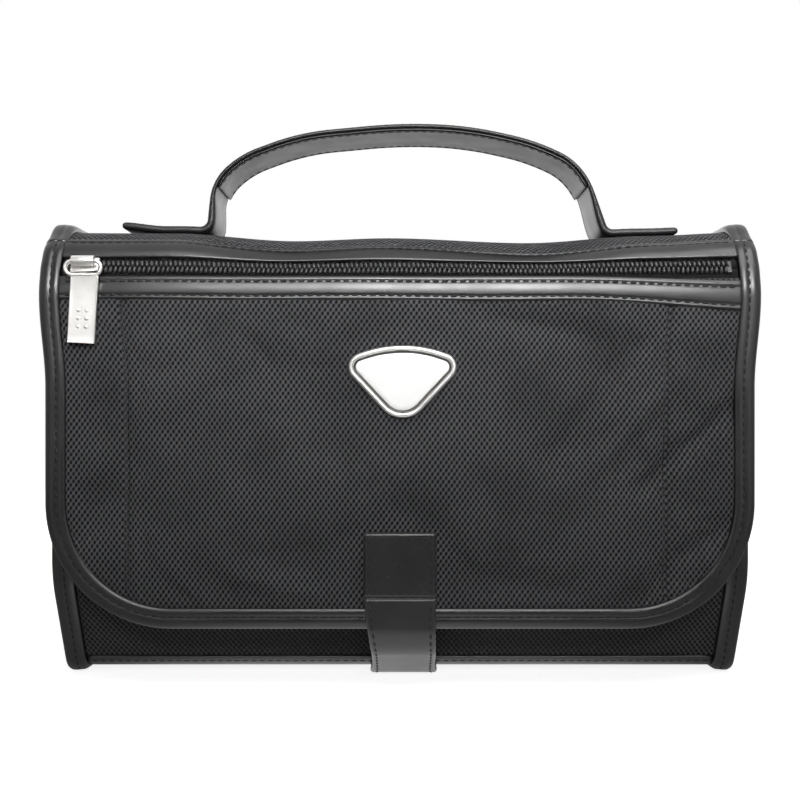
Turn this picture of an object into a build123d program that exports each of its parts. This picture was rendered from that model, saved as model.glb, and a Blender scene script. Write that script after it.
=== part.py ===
from build123d import *
from math import atan2, cos, degrees, radians, sin, tan
import os

# Fold-over toiletry bag, closed and standing on its bottom.
# Lengths are in millimetres, angles in degrees.
# +X runs to the viewer's right, -Y to the front, +Z up. The origin is the middle of the standing face.

# Whole bag
bag_width = 280.0
roll_height = 184.0
flap_face = 37.2
back_face = 34.6
shoulder_radius = 28.0
back_top_radius = 26.0
back_bottom_radius = 16.0
knee_level = 44.0
knee_radius = 35.0
toe_setback = 8.0
toe_radius = 9.0
clearance = 0.3

# Body layers and bindings
shell_thickness = 1.6
foam_thickness = 2.8
lining_thickness = 0.8
gusset_thickness = 1.8
binding_width = 8.4
binding_rise = 3.4
binding_web = 1.2
binding_start_angle = 20.0
board_thickness = 2.0
board_margin = 9.0
mouth_level = 118.0
mouth_binding_height = 7.0
mouth_binding_thickness = 0.8
bottom_trim_thickness = 1.2
bottom_trim_height = 8.0
bottom_trim_end = -0.5

# Inner slip pocket on the back wall
inner_pocket_width = 220.0
inner_pocket_low = 22.0
inner_pocket_high = 96.0
inner_pocket_gap = 3.0
inner_pocket_sheet = 0.8
elastic_height = 8.0
elastic_thickness = 1.2

# Flap layers
hinge_angle = 36.0
flap_bottom = 24.7
flap_corner_radius = 50.0
panel_thickness = 1.4
tape_thickness = 0.6
pocket_leaf = 0.4
pocket_space = 2.1
flap_foam_thickness = 1.9
flap_lining_thickness = 0.6
flap_binding_rise = 1.0
flap_binding_rim = 1.2
pocket_margin = 0.4
pocket_low = 36.0

# Leather trim and zipper
trim_rise = 1.0
upper_trim_angle = 41.4
lower_trim_drop = 1.7
zip_angle = 66.0
zip_slot = 7.8
tape_reach = 8.0
coil_width = 2.8
coil_rise = 1.0
coil_gap = 1.2
coil_end_gap = 2.0
stop_length = 1.6
stop_width = 5.0
stop_rise = 0.8

# Slider and pull
slider_inset = 5.3
slider_length = 11.0
slider_width = 7.6
slider_plate = 1.2
slider_lift = 0.6
slider_corner = 1.9
slider_edge = 0.4
slider_foot = 0.9
slider_foot_margin = 0.7
slider_web_length = 3.0
slider_web = 0.6
crown_length = 9.0
crown_wall = 1.2
ring_wire = 1.6
ring_round = 0.7
ring_play = 0.1
ring_width = 15.5
ring_height = 7.0
ring_corner = 2.2
pull_width = 10.6
pull_length = 26.8
pull_thickness = 1.8
pull_lean = 3.0
pull_corner = 1.2
pull_recess_depth = 0.4
pull_recess_width = 7.6
pull_recess_length = 12.4
pull_recess_margin = 3.4
pull_dot_radius = 0.8
pull_dot_pitch = 3.2

# Badge
badge_drop = 33.8
badge_width = 42.4
badge_height = 28.6
badge_corner = 7.0
badge_rim_width = 2.7
badge_base = 1.0
badge_rise = 2.2
badge_face_rise = 1.7
badge_fit = 0.05
badge_plate = 0.8
badge_plate_margin = 1.8
prong_radius = 0.9
prong_spacing = 20.0

# Closure strap with hook and loop under the bottom
strap_width = 27.5
strap_thickness = 1.9
strap_top = 62.8
strap_crease = 38.0
strap_bend_level = 18.0
strap_bend_radius = 14.0
strap_toe = -12.0
strap_toe_radius = 20.0
strap_tip_start = -3.0
strap_tip_end = 14.0
strap_tip_corner = 3.4
hook_thickness = 0.5
hook_margin = 3.0
loop_margin = 1.5

# Handle
handle_y = 2.0
handle_width = 28.6
handle_thickness = 3.2
tab_inset = 24.0
tab_left_length = 35.0
tab_right_length = 31.0
foot_radius = 5.0
foot_rise = 11.0
handle_axis_rise = 20.0
handle_joint_gap = 0.35
handle_rise = 48.0
shoulder_drop = 4.5
corner_left_rise = 27.0
corner_right_rise = 30.0
corner_left_inset = 1.0
corner_right_inset = 6.0
shoulder_left_inset = 33.0
shoulder_right_inset = 35.0
handle_radii = (14.0, 60.0, 200.0, 60.0, 12.0)
corner_share = 0.48
grip_thickness = 2.0

# Worked out from the sizes above
flap_thickness = (
    panel_thickness + 2 * pocket_leaf + pocket_space + flap_foam_thickness + flap_lining_thickness
)
front_wall = flap_face - flap_thickness - clearance - binding_rise
shell_bottom = binding_rise
shoulder_y = shoulder_radius - flap_face
shoulder_z = roll_height - shoulder_radius
step_depth = flap_face - front_wall
wall_thickness = shell_thickness + foam_thickness + lining_thickness
gusset_outer = bag_width / 2 - binding_web
gusset_inner = gusset_outer - gusset_thickness
binding_inner = bag_width / 2 - binding_width
strap_under = strap_thickness / 2
loop_thickness = shell_bottom - strap_thickness - hook_thickness - clearance
face_angle = 90.0
tangent_slack = 0.001
far = 300.0
back_board_low = shell_bottom + back_bottom_radius + board_margin
back_board_high = roll_height - back_top_radius - board_margin
lower_trim_low = shoulder_z - lower_trim_drop
badge_level = shoulder_z - badge_drop
foot_left = tab_inset + tab_left_length - bag_width / 2
foot_right = bag_width / 2 - tab_inset - tab_right_length
foot_top = roll_height + foot_rise
handle_axis_level = roll_height + handle_axis_rise
handle_shoulder_level = roll_height + handle_rise - shoulder_drop
handle_corners = (
    (foot_left + corner_left_inset, roll_height + corner_left_rise),
    (foot_left + shoulder_left_inset, handle_shoulder_level),
    (0, roll_height + handle_rise),
    (foot_right - shoulder_right_inset, handle_shoulder_level),
    (foot_right - corner_right_inset, roll_height + corner_right_rise),
)
parts_folder = "parts"


def on_shoulder(angle, depth):
    """Point on the flap's rounding: angle from straight up to the front, depth below its face."""
    reach = shoulder_radius - depth
    return (shoulder_y - reach * sin(radians(angle)), shoulder_z + reach * cos(radians(angle)))


def turned(width):
    """Angle that a width along the flap's face takes on the rounding."""
    return degrees(width / shoulder_radius)


def body_outline(inset):
    """Side view of the body inside the shell's face by the inset, with its step for the flap."""
    with BuildSketch(Plane.YZ) as lower:
        with BuildLine():
            FilletPolyline(
                (-front_wall, knee_level),
                (-toe_setback, shell_bottom),
                (back_face, shell_bottom),
                (back_face, roll_height - step_depth),
                (-front_wall, roll_height - step_depth),
                radius=(
                    knee_radius,
                    toe_radius,
                    back_bottom_radius,
                    back_top_radius - step_depth,
                    shoulder_radius - step_depth,
                ),
                close=True,
            )
        make_face()
        offset(amount=-inset)
    with BuildSketch(Plane.YZ) as crown:
        with BuildLine():
            FilletPolyline(
                (-flap_face + inset, shoulder_z),
                (back_face - inset, shoulder_z),
                (back_face - inset, roll_height - inset),
                (-flap_face + inset, roll_height - inset),
                radius=(0, 0, back_top_radius - inset, shoulder_radius - inset - tangent_slack),
                close=True,
            )
        make_face()
        with BuildLine():
            Polyline(
                (shoulder_y, shoulder_z),
                on_shoulder(hinge_angle, -far),
                (far, far),
                (far, shoulder_z),
                close=True,
            )
        make_face(mode=Mode.INTERSECT)
    return lower.sketch + crown.sketch


def body_ring(outer, inner):
    """Side view of one layer of the body between two depths below the shell's face."""
    return body_outline(outer) - body_outline(inner)


def mouth_cut():
    """Side view of what is open in front of the hinge line and above the front wall."""
    with BuildSketch(Plane.YZ) as cut:
        with BuildLine():
            Polyline(
                (shoulder_y, shoulder_z),
                on_shoulder(hinge_angle, -far),
                (-far, far),
                (-far, mouth_level),
                (shoulder_y, mouth_level),
                close=True,
            )
        make_face()
    return cut.sketch


def flap_band(outer, inner, start, bottom):
    """Side view of one flap layer from an angle on the rounding down to a level."""
    with BuildSketch(Plane.YZ) as band:
        with BuildLine():
            middle = (start + face_angle) / 2
            ThreePointArc(
                on_shoulder(start, outer), on_shoulder(middle, outer), on_shoulder(face_angle, outer)
            )
            Polyline(
                on_shoulder(face_angle, outer),
                (-flap_face + outer, bottom),
                (-flap_face + inner, bottom),
                on_shoulder(face_angle, inner),
            )
            ThreePointArc(
                on_shoulder(face_angle, inner), on_shoulder(middle, inner), on_shoulder(start, inner)
            )
            Line(on_shoulder(start, inner), on_shoulder(start, outer))
        make_face()
    return band.sketch


def shoulder_band(outer, inner, start, end):
    """Side view of one flap layer between two angles on the rounding."""
    with BuildSketch(Plane.YZ) as band:
        with BuildLine():
            middle = (start + end) / 2
            ThreePointArc(on_shoulder(start, outer), on_shoulder(middle, outer), on_shoulder(end, outer))
            Line(on_shoulder(end, outer), on_shoulder(end, inner))
            ThreePointArc(on_shoulder(end, inner), on_shoulder(middle, inner), on_shoulder(start, inner))
            Line(on_shoulder(start, inner), on_shoulder(start, outer))
        make_face()
    return band.sketch


def flap_front(inset):
    """Front view of the flap inside its edge by the inset; it runs on past the top."""
    half = bag_width / 2 - inset
    with BuildSketch(Plane.XZ) as front:
        with BuildLine():
            FilletPolyline(
                (-half, far),
                (-half, flap_bottom + inset),
                (half, flap_bottom + inset),
                (half, far),
                radius=(0, flap_corner_radius - inset, flap_corner_radius - inset, 0),
                close=True,
            )
        make_face()
    return front.sketch


def badge_outline(inset):
    """Rounded triangle that points down, seen from the front, inside the badge's edge."""
    across = badge_width / 2 - badge_corner
    up = badge_height / 2 - badge_corner
    with BuildSketch(Plane.XZ) as outline:
        with Locations((-across, badge_level + up), (across, badge_level + up), (0, badge_level - up)):
            Circle(badge_corner - inset)
        make_hull()
    return outline.sketch


def export(piece, label):
    """Label a finished piece and write it as a STEP file."""
    piece.part.label = label
    export_step(piece.part, f"{parts_folder}/{label}.step")


os.makedirs(parts_folder, exist_ok=True)

# Body: shell, padding, lining and boards

with BuildPart() as outer_shell:
    extrude(body_ring(0, shell_thickness) - mouth_cut(), amount=gusset_inner, both=True)
export(outer_shell, "outer_shell")

toe_turn = atan2(knee_level - shell_bottom, front_wall - toe_setback)
bottom_board_front = toe_radius * tan(toe_turn / 2) - toe_setback
bottom_board_back = back_face - back_bottom_radius
with BuildPart() as bottom_board:
    with BuildSketch(Plane.XY.offset(shell_bottom + shell_thickness)):
        with Locations((0, (bottom_board_front + bottom_board_back) / 2)):
            Rectangle(2 * (gusset_inner - board_margin), bottom_board_back - bottom_board_front)
    extrude(amount=board_thickness)
export(bottom_board, "bottom_board")

with BuildPart() as back_board:
    with BuildSketch(Plane.XZ.offset(-back_face + shell_thickness)):
        with Locations((0, (back_board_low + back_board_high) / 2)):
            RectangleRounded(
                2 * (gusset_inner - board_margin), back_board_high - back_board_low, board_margin
            )
    extrude(amount=board_thickness)
export(back_board, "back_board")

with BuildPart() as body_foam:
    extrude(
        body_ring(shell_thickness, shell_thickness + foam_thickness) - mouth_cut(),
        amount=gusset_inner,
        both=True,
    )
    add(bottom_board.part, mode=Mode.SUBTRACT)
    add(back_board.part, mode=Mode.SUBTRACT)
export(body_foam, "body_foam")

lining_side = gusset_inner - lining_thickness
with BuildPart() as lining:
    extrude(
        body_ring(shell_thickness + foam_thickness, wall_thickness) - mouth_cut(),
        amount=gusset_inner,
        both=True,
    )
    extrude(
        body_outline(wall_thickness).moved(Location((lining_side, 0, 0))), amount=lining_thickness
    )
    extrude(
        body_outline(wall_thickness).moved(Location((-lining_side, 0, 0))), amount=-lining_thickness
    )
export(lining, "lining")

# Body: side gussets and the leather that binds their edges

for side, name in ((-1, "left"), (1, "right")):
    with BuildPart() as gusset:
        extrude(
            body_outline(0).moved(Location((side * gusset_inner, 0, 0))),
            amount=side * gusset_thickness,
        )
    export(gusset, f"gusset_{name}")

    with BuildPart() as body_binding:
        extrude(
            body_outline(-binding_rise).moved(Location((side * binding_inner, 0, 0))),
            amount=side * binding_width,
        )
        extrude(
            body_outline(0).moved(Location((side * binding_inner, 0, 0))),
            amount=side * (gusset_outer - binding_inner),
            mode=Mode.SUBTRACT,
        )
        extrude(
            body_outline(binding_width - binding_rise).moved(Location((side * gusset_outer, 0, 0))),
            amount=side * binding_web,
            mode=Mode.SUBTRACT,
        )
        with BuildSketch(Plane.YZ):
            with BuildLine():
                Polyline(
                    on_shoulder(binding_start_angle, step_depth),
                    on_shoulder(binding_start_angle, -far),
                    on_shoulder(face_angle, -far),
                    on_shoulder(hinge_angle, step_depth - binding_rise),
                    close=True,
                )
            make_face()
        extrude(amount=bag_width, both=True, mode=Mode.SUBTRACT)
    export(body_binding, f"body_binding_{name}")

mouth_wall_inner = front_wall - wall_thickness
with BuildPart() as mouth_binding:
    with BuildSketch(Plane.XY.offset(mouth_level - mouth_binding_height)):
        with Locations((0, -(front_wall + mouth_wall_inner) / 2)):
            Rectangle(
                2 * (binding_inner - clearance), wall_thickness + 2 * mouth_binding_thickness
            )
    extrude(amount=mouth_binding_height + mouth_binding_thickness)
    with BuildSketch(Plane.XY.offset(mouth_level - mouth_binding_height)):
        with Locations((0, -(front_wall + mouth_wall_inner) / 2)):
            Rectangle(bag_width, wall_thickness)
    extrude(amount=mouth_binding_height, mode=Mode.SUBTRACT)
export(mouth_binding, "mouth_binding")

with BuildPart() as bottom_trim:
    extrude(body_ring(-bottom_trim_thickness, 0), amount=binding_inner - clearance, both=True)
    with BuildSketch(Plane.YZ):
        with Locations((bottom_trim_end, 0)):
            Rectangle(far, bottom_trim_height, align=(Align.MAX, Align.MIN))
    extrude(amount=far, both=True, mode=Mode.INTERSECT)
export(bottom_trim, "bottom_trim")

# Body: slip pocket inside the back wall, and its elastic

lining_back = back_face - wall_thickness
pocket_depth = inner_pocket_gap + inner_pocket_sheet
pocket_height = inner_pocket_high - inner_pocket_low
with BuildPart() as inner_pocket:
    with BuildSketch(Plane.XZ.offset(-lining_back)):
        with Locations((0, inner_pocket_low)):
            Rectangle(inner_pocket_width, pocket_height, align=(Align.CENTER, Align.MIN))
    extrude(amount=pocket_depth)
    with BuildSketch(Plane.XZ.offset(-lining_back)):
        with Locations((0, inner_pocket_low + inner_pocket_sheet)):
            Rectangle(
                inner_pocket_width - 2 * inner_pocket_sheet,
                pocket_height,
                align=(Align.CENTER, Align.MIN),
            )
    extrude(amount=inner_pocket_gap, mode=Mode.SUBTRACT)
export(inner_pocket, "inner_pocket")

with BuildPart() as pocket_elastic:
    with BuildSketch(Plane.XZ.offset(-lining_back + pocket_depth)):
        with Locations((0, inner_pocket_high)):
            Rectangle(inner_pocket_width, elastic_height, align=(Align.CENTER, Align.MAX))
    extrude(amount=elastic_thickness)
export(pocket_elastic, "pocket_elastic")

# Flap: panels, zipper tapes, pocket, foam, lining and binding

flap_start = hinge_angle + turned(clearance)
slot_top_angle = zip_angle - turned(zip_slot / 2)
slot_low_angle = zip_angle + turned(zip_slot / 2)
tape_top_angle = zip_angle - turned(tape_reach)
tape_low_angle = zip_angle + turned(tape_reach)
coil_slot_top = zip_angle - turned(coil_gap / 2)
coil_slot_low = zip_angle + turned(coil_gap / 2)
pocket_back = panel_thickness + 2 * pocket_leaf + pocket_space
foam_back = pocket_back + flap_foam_thickness
prong_places = [(-prong_spacing / 2, badge_level), (prong_spacing / 2, badge_level)]

with BuildPart() as flap_panel:
    extrude(flap_band(0, panel_thickness, slot_low_angle, flap_bottom), amount=far, both=True)
    extrude(flap_front(flap_binding_rim), amount=far, both=True, mode=Mode.INTERSECT)
    with BuildSketch(Plane.XZ):
        with Locations(*prong_places):
            Circle(prong_radius)
    extrude(amount=far, mode=Mode.SUBTRACT)
export(flap_panel, "flap_panel")

with BuildPart() as flap_crown:
    extrude(shoulder_band(0, panel_thickness, flap_start, slot_top_angle), amount=far, both=True)
    extrude(flap_front(flap_binding_rim), amount=far, both=True, mode=Mode.INTERSECT)
export(flap_crown, "flap_crown")

tape_half = binding_inner - clearance
with BuildPart() as zipper_tape_upper:
    extrude(
        shoulder_band(
            panel_thickness, panel_thickness + tape_thickness, tape_top_angle, coil_slot_top
        ),
        amount=tape_half,
        both=True,
    )
export(zipper_tape_upper, "zipper_tape_upper")

with BuildPart() as zipper_tape_lower:
    extrude(
        shoulder_band(
            panel_thickness, panel_thickness + tape_thickness, coil_slot_low, tape_low_angle
        ),
        amount=tape_half,
        both=True,
    )
export(zipper_tape_lower, "zipper_tape_lower")

pocket_top_angle = tape_top_angle - turned(2 * pocket_leaf)
with BuildPart() as pocket_bag:
    extrude(flap_band(panel_thickness, pocket_back, pocket_top_angle, pocket_low), amount=far, both=True)
    extrude(
        flap_front(binding_width + pocket_margin), amount=far, both=True, mode=Mode.INTERSECT
    )
    extrude(
        flap_band(
            panel_thickness + pocket_leaf,
            pocket_back - pocket_leaf,
            tape_top_angle,
            pocket_low + pocket_leaf,
        ),
        amount=tape_half,
        both=True,
        mode=Mode.SUBTRACT,
    )
    extrude(
        shoulder_band(panel_thickness, pocket_back - pocket_leaf, tape_top_angle, tape_low_angle),
        amount=far,
        both=True,
        mode=Mode.SUBTRACT,
    )
    with BuildSketch(Plane.XZ.offset(flap_face - panel_thickness - 2 * pocket_leaf)):
        with Locations(*prong_places):
            Circle(prong_radius)
    extrude(amount=far, mode=Mode.SUBTRACT)
export(pocket_bag, "pocket_bag")

with BuildPart() as flap_foam:
    extrude(flap_band(pocket_back, foam_back, flap_start, flap_bottom), amount=far, both=True)
    extrude(flap_front(flap_binding_rim), amount=far, both=True, mode=Mode.INTERSECT)
export(flap_foam, "flap_foam")

with BuildPart() as flap_lining:
    extrude(flap_band(foam_back, flap_thickness, flap_start, flap_bottom), amount=far, both=True)
    extrude(flap_front(binding_width), amount=far, both=True, mode=Mode.INTERSECT)
export(flap_lining, "flap_lining")

with BuildPart() as flap_binding:
    extrude(flap_band(-flap_binding_rise, flap_thickness, flap_start, flap_bottom), amount=far, both=True)
    extrude(flap_front(0), amount=far, both=True, mode=Mode.INTERSECT)
    extrude(flap_front(binding_width), amount=far, both=True, mode=Mode.SUBTRACT)
    add(flap_panel.part, mode=Mode.SUBTRACT)
    add(flap_crown.part, mode=Mode.SUBTRACT)
    add(flap_foam.part, mode=Mode.SUBTRACT)
export(flap_binding, "flap_binding")

# Flap: leather trim, zipper coil and stops

with BuildPart() as upper_trim:
    extrude(shoulder_band(-trim_rise, 0, upper_trim_angle, slot_top_angle), amount=tape_half, both=True)
export(upper_trim, "upper_trim")

with BuildPart() as lower_trim:
    extrude(flap_band(-trim_rise, 0, slot_low_angle, lower_trim_low), amount=tape_half, both=True)
export(lower_trim, "lower_trim")

zip_point = on_shoulder(zip_angle, 0)
zip_out = (0, -sin(radians(zip_angle)), cos(radians(zip_angle)))
zip_up = (0, cos(radians(zip_angle)), sin(radians(zip_angle)))
zip_face = Plane(origin=(0, zip_point[0], zip_point[1]), x_dir=(1, 0, 0), z_dir=zip_out)
coil_half = tape_half - coil_end_gap
slider_start = slider_inset - coil_half
coil_middle = (coil_gap + coil_width) / 2

for side, name in ((1, "upper"), (-1, "lower")):
    with BuildPart() as coil:
        with BuildSketch(zip_face.offset(coil_rise)):
            with Locations((0, side * coil_middle)):
                Rectangle(2 * coil_half, coil_width)
        extrude(amount=-coil_rise - panel_thickness)
    export(coil, f"zipper_coil_{name}")

with BuildPart() as zipper_stops:
    with BuildSketch(zip_face.offset(stop_rise)):
        with Locations((-coil_half - stop_length / 2, 0), (coil_half + stop_length / 2, 0)):
            Rectangle(stop_length, stop_width)
    extrude(amount=-stop_rise - panel_thickness)
export(zipper_stops, "zipper_stops")

# Slider: plates joined by a web between the two halves of the coil, and the crown over the ring

slider_face = Plane(origin=(slider_start, zip_point[0], zip_point[1]), x_dir=(1, 0, 0), z_dir=zip_out)
slider_section = Plane(
    origin=(slider_start, zip_point[0], zip_point[1]), x_dir=zip_up, z_dir=(1, 0, 0)
)
plate_under = coil_rise + slider_lift
plate_top = plate_under + slider_plate
foot_face = panel_thickness + tape_thickness + 2 * clearance
pull_y = -(flap_face + trim_rise + clearance + pull_thickness / 2)
crown_height = (zip_point[0] - pull_y) / sin(radians(zip_angle))
crown_radius = ring_wire / 2 + ring_play + crown_wall
ring_axis_z = zip_point[1] + crown_height * cos(radians(zip_angle))

with BuildPart() as slider_body:
    with BuildSketch(slider_face.offset(plate_under)):
        RectangleRounded(slider_length, slider_width, slider_corner)
    extrude(amount=slider_plate)
    fillet(slider_body.faces().sort_by(Axis(zip_face.origin, zip_out))[-1].edges(), slider_edge)
    with BuildSketch(slider_face.offset(-foot_face - slider_foot)):
        RectangleRounded(
            slider_length - 2 * slider_foot_margin,
            slider_width - 2 * slider_foot_margin,
            slider_corner - slider_foot_margin,
        )
    extrude(amount=slider_foot)
    with BuildSketch(slider_face.offset(-foot_face)):
        Rectangle(slider_web_length, slider_web)
    extrude(amount=foot_face + plate_under)
export(slider_body, "slider_body")

with BuildPart() as slider_crown:
    with BuildSketch(slider_section):
        with Locations((0, plate_top)):
            Rectangle(2 * crown_radius, crown_height - plate_top, align=(Align.CENTER, Align.MIN))
        with Locations((0, crown_height)):
            Circle(crown_radius)
            Circle(ring_wire / 2 + ring_play, mode=Mode.SUBTRACT)
    extrude(amount=crown_length / 2, both=True)
export(slider_crown, "slider_crown")

pull_plane = Plane(origin=(slider_start, pull_y, ring_axis_z), x_dir=(1, 0, 0), z_dir=(0, -1, 0))
ring_drop = ring_height - ring_wire
tab_middle = -ring_drop - pull_length / 2
with BuildPart() as pull_tab:
    with BuildSketch(pull_plane.offset(-ring_wire / 2)):
        with Locations((0, -ring_drop / 2)):
            RectangleRounded(ring_width, ring_height, ring_corner + ring_wire / 2)
            RectangleRounded(
                ring_width - 2 * ring_wire,
                ring_height - 2 * ring_wire,
                ring_corner - ring_wire / 2,
                mode=Mode.SUBTRACT,
            )
    extrude(amount=ring_wire)
    fillet(pull_tab.edges(), ring_round)
    with BuildSketch(pull_plane.offset(-pull_thickness / 2)):
        with Locations((0, tab_middle)):
            RectangleRounded(pull_width, pull_length, pull_corner, rotation=-pull_lean)
    extrude(amount=pull_thickness)
    with BuildSketch(pull_plane.offset(pull_thickness / 2)):
        with Locations(Location((0, tab_middle, 0), (0, 0, -pull_lean))):
            with Locations((0, (pull_recess_length - pull_length) / 2 + pull_recess_margin)):
                RectangleRounded(pull_recess_width, pull_recess_length, pull_corner)
    extrude(amount=-pull_recess_depth, mode=Mode.SUBTRACT)
    with BuildSketch(pull_plane.offset(pull_thickness / 2 - pull_recess_depth)):
        with Locations(Location((0, tab_middle, 0), (0, 0, -pull_lean))):
            with Locations((0, (pull_recess_length - pull_length) / 2 + pull_recess_margin)):
                with GridLocations(pull_dot_pitch, pull_dot_pitch, 2, 3):
                    Circle(pull_dot_radius)
    extrude(amount=pull_recess_depth)
export(pull_tab, "pull_tab")

# Badge: rim with its prongs, enamel face and the plate that holds it behind the panel

with BuildPart() as badge_rim:
    extrude(
        badge_outline(0).moved(Location((0, -flap_face, 0))), amount=badge_rise
    )
    extrude(
        badge_outline(badge_rim_width).moved(Location((0, -flap_face - badge_base, 0))),
        amount=badge_rise,
        mode=Mode.SUBTRACT,
    )
export(badge_rim, "badge_rim")

with BuildPart() as badge_face:
    extrude(
        badge_outline(badge_rim_width + badge_fit).moved(Location((0, -flap_face - badge_base, 0))),
        amount=badge_face_rise - badge_base,
    )
export(badge_face, "badge_face")

with BuildPart() as badge_prongs:
    with BuildSketch(Plane.XZ.offset(flap_face)):
        with Locations(*prong_places):
            Circle(prong_radius)
    extrude(amount=-panel_thickness - pocket_leaf - badge_plate)
export(badge_prongs, "badge_prongs")

badge_plate_width = 2 * (prong_radius + badge_plate_margin)
with BuildPart() as badge_plate_back:
    with BuildSketch(Plane.XZ.offset(flap_face - panel_thickness - pocket_leaf)):
        with Locations((0, badge_level)):
            SlotOverall(prong_spacing + badge_plate_width, badge_plate_width)
        with Locations(*prong_places):
            Circle(prong_radius, mode=Mode.SUBTRACT)
    extrude(amount=-badge_plate)
export(badge_plate_back, "badge_back_plate")

# Closure strap: sewn base on the flap, free length over the edge, and the tip under the bottom

strap_face = flap_face + flap_binding_rise + clearance + strap_thickness
strap_line = -strap_face + strap_thickness / 2
with BuildPart() as strap_base:
    with BuildSketch(Plane.XZ.offset(flap_face)):
        with Locations((0, strap_crease)):
            Rectangle(strap_width, strap_top - strap_crease, align=(Align.CENTER, Align.MIN))
    extrude(amount=strap_face - flap_face)
export(strap_base, "strap_base")

with BuildPart() as closure_strap:
    with BuildSketch(Plane.YZ):
        with BuildLine():
            FilletPolyline(
                (strap_line, strap_crease - clearance),
                (strap_line, strap_bend_level),
                (strap_toe, strap_under),
                (strap_tip_start - clearance, strap_under),
                radius=(strap_bend_radius, strap_toe_radius),
            )
        trace(line_width=strap_thickness)
    extrude(amount=strap_width / 2, both=True)
export(closure_strap, "closure_strap")

with BuildPart() as strap_tip:
    with BuildSketch(Plane.XY):
        with Locations((0, strap_tip_start)):
            Rectangle(strap_width, strap_tip_end - strap_tip_start, align=(Align.CENTER, Align.MIN))
    extrude(amount=strap_thickness)
    fillet(strap_tip.edges().filter_by(Axis.Z).group_by(Axis.Y)[-1], strap_tip_corner)
export(strap_tip, "strap_tip")

patch_start = bottom_trim_end + 2 * clearance
patch_length = strap_tip_end - patch_start
with BuildPart() as hook_patch:
    with BuildSketch(Plane.XY.offset(strap_thickness)):
        with Locations((0, patch_start)):
            Rectangle(
                strap_width - 2 * hook_margin,
                patch_length - hook_margin,
                align=(Align.CENTER, Align.MIN),
            )
    extrude(amount=hook_thickness)
export(hook_patch, "hook_patch")

with BuildPart() as loop_patch:
    with BuildSketch(Plane.XY.offset(shell_bottom)):
        with Locations((0, bottom_trim_end)):
            Rectangle(
                strap_width - 2 * loop_margin,
                patch_length + loop_margin,
                align=(Align.CENTER, Align.MIN),
            )
    extrude(amount=-loop_thickness)
export(loop_patch, "loop_patch")

# Handle: sewn feet on the crown, swinging strap between them and the grip layer below it

tab_level = roll_height + handle_thickness / 2
tab_end = bag_width / 2 - tab_inset
for end, foot, name in ((-tab_end, foot_left, "left"), (tab_end, foot_right, "right")):
    with BuildPart() as handle_tab:
        with BuildSketch(Plane.XZ.offset(-handle_y)):
            with BuildLine():
                FilletPolyline(
                    (end, tab_level), (foot, tab_level), (foot, foot_top), radius=foot_radius
                )
            trace(line_width=handle_thickness)
        extrude(amount=handle_width / 2, both=True)
        with BuildSketch(Plane.YZ):
            with Locations((handle_y, handle_axis_level)):
                Circle(handle_width / 2 + handle_joint_gap)
        extrude(amount=far, both=True, mode=Mode.SUBTRACT)
    export(handle_tab, f"handle_tab_{name}")

with BuildPart() as swing_zone:
    with BuildSketch(Plane.YZ):
        with Locations((handle_y, handle_axis_level)):
            Circle(handle_width / 2)
            Rectangle(handle_width, far, align=(Align.CENTER, Align.MIN))
    extrude(amount=far, both=True)

arch_foot = handle_axis_level - handle_width / 2 - foot_radius
arch_points = ((foot_left, arch_foot), *handle_corners, (foot_right, arch_foot))
arch_radii = []
for before, corner, after, radius in zip(arch_points, arch_points[1:], arch_points[2:], handle_radii):
    run_in = Vector(corner) - Vector(before)
    run_out = Vector(after) - Vector(corner)
    curve_reach = corner_share * min(run_in.length, run_out.length)
    turn = radians(run_in.get_angle(run_out))
    arch_radii.append(min(radius, curve_reach / tan(turn / 2)))
with BuildSketch(Plane.XZ.offset(-handle_y)) as arch_band:
    with BuildLine():
        FilletPolyline(*arch_points, radius=arch_radii)
    trace(line_width=handle_thickness)

with BuildSketch(Plane.XZ.offset(-handle_y)) as below_arch:
    with BuildLine():
        FilletPolyline(*arch_points, radius=(0, *arch_radii, 0), close=True)
    make_face()

with BuildSketch(Plane.XZ.offset(-handle_y)) as grip_band:
    with BuildLine():
        FilletPolyline(*arch_points, radius=arch_radii)
    trace(line_width=handle_thickness + 2 * grip_thickness)
    add(arch_band.sketch_local, mode=Mode.SUBTRACT)
    add(below_arch.sketch_local, mode=Mode.INTERSECT)

with BuildPart() as handle_strap:
    extrude(arch_band.sketch, amount=handle_width / 2, both=True)
    add(swing_zone.part, mode=Mode.INTERSECT)
export(handle_strap, "handle_strap")

with BuildPart() as handle_grip:
    extrude(grip_band.sketch, amount=handle_width / 2, both=True)
    with BuildSketch(Plane.XY.offset(handle_axis_level)):
        Rectangle(far, far)
    extrude(amount=far, mode=Mode.INTERSECT)
export(handle_grip, "handle_grip")
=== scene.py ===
"""Looks of the fold-over toiletry bag: padded cloth, leather, zipper, badge, strap and handle."""

import bpy
import logging
import math
from contextlib import contextmanager
from dataclasses import dataclass, field
from enum import Enum
from typing import Callable, Iterator, Sequence

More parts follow.
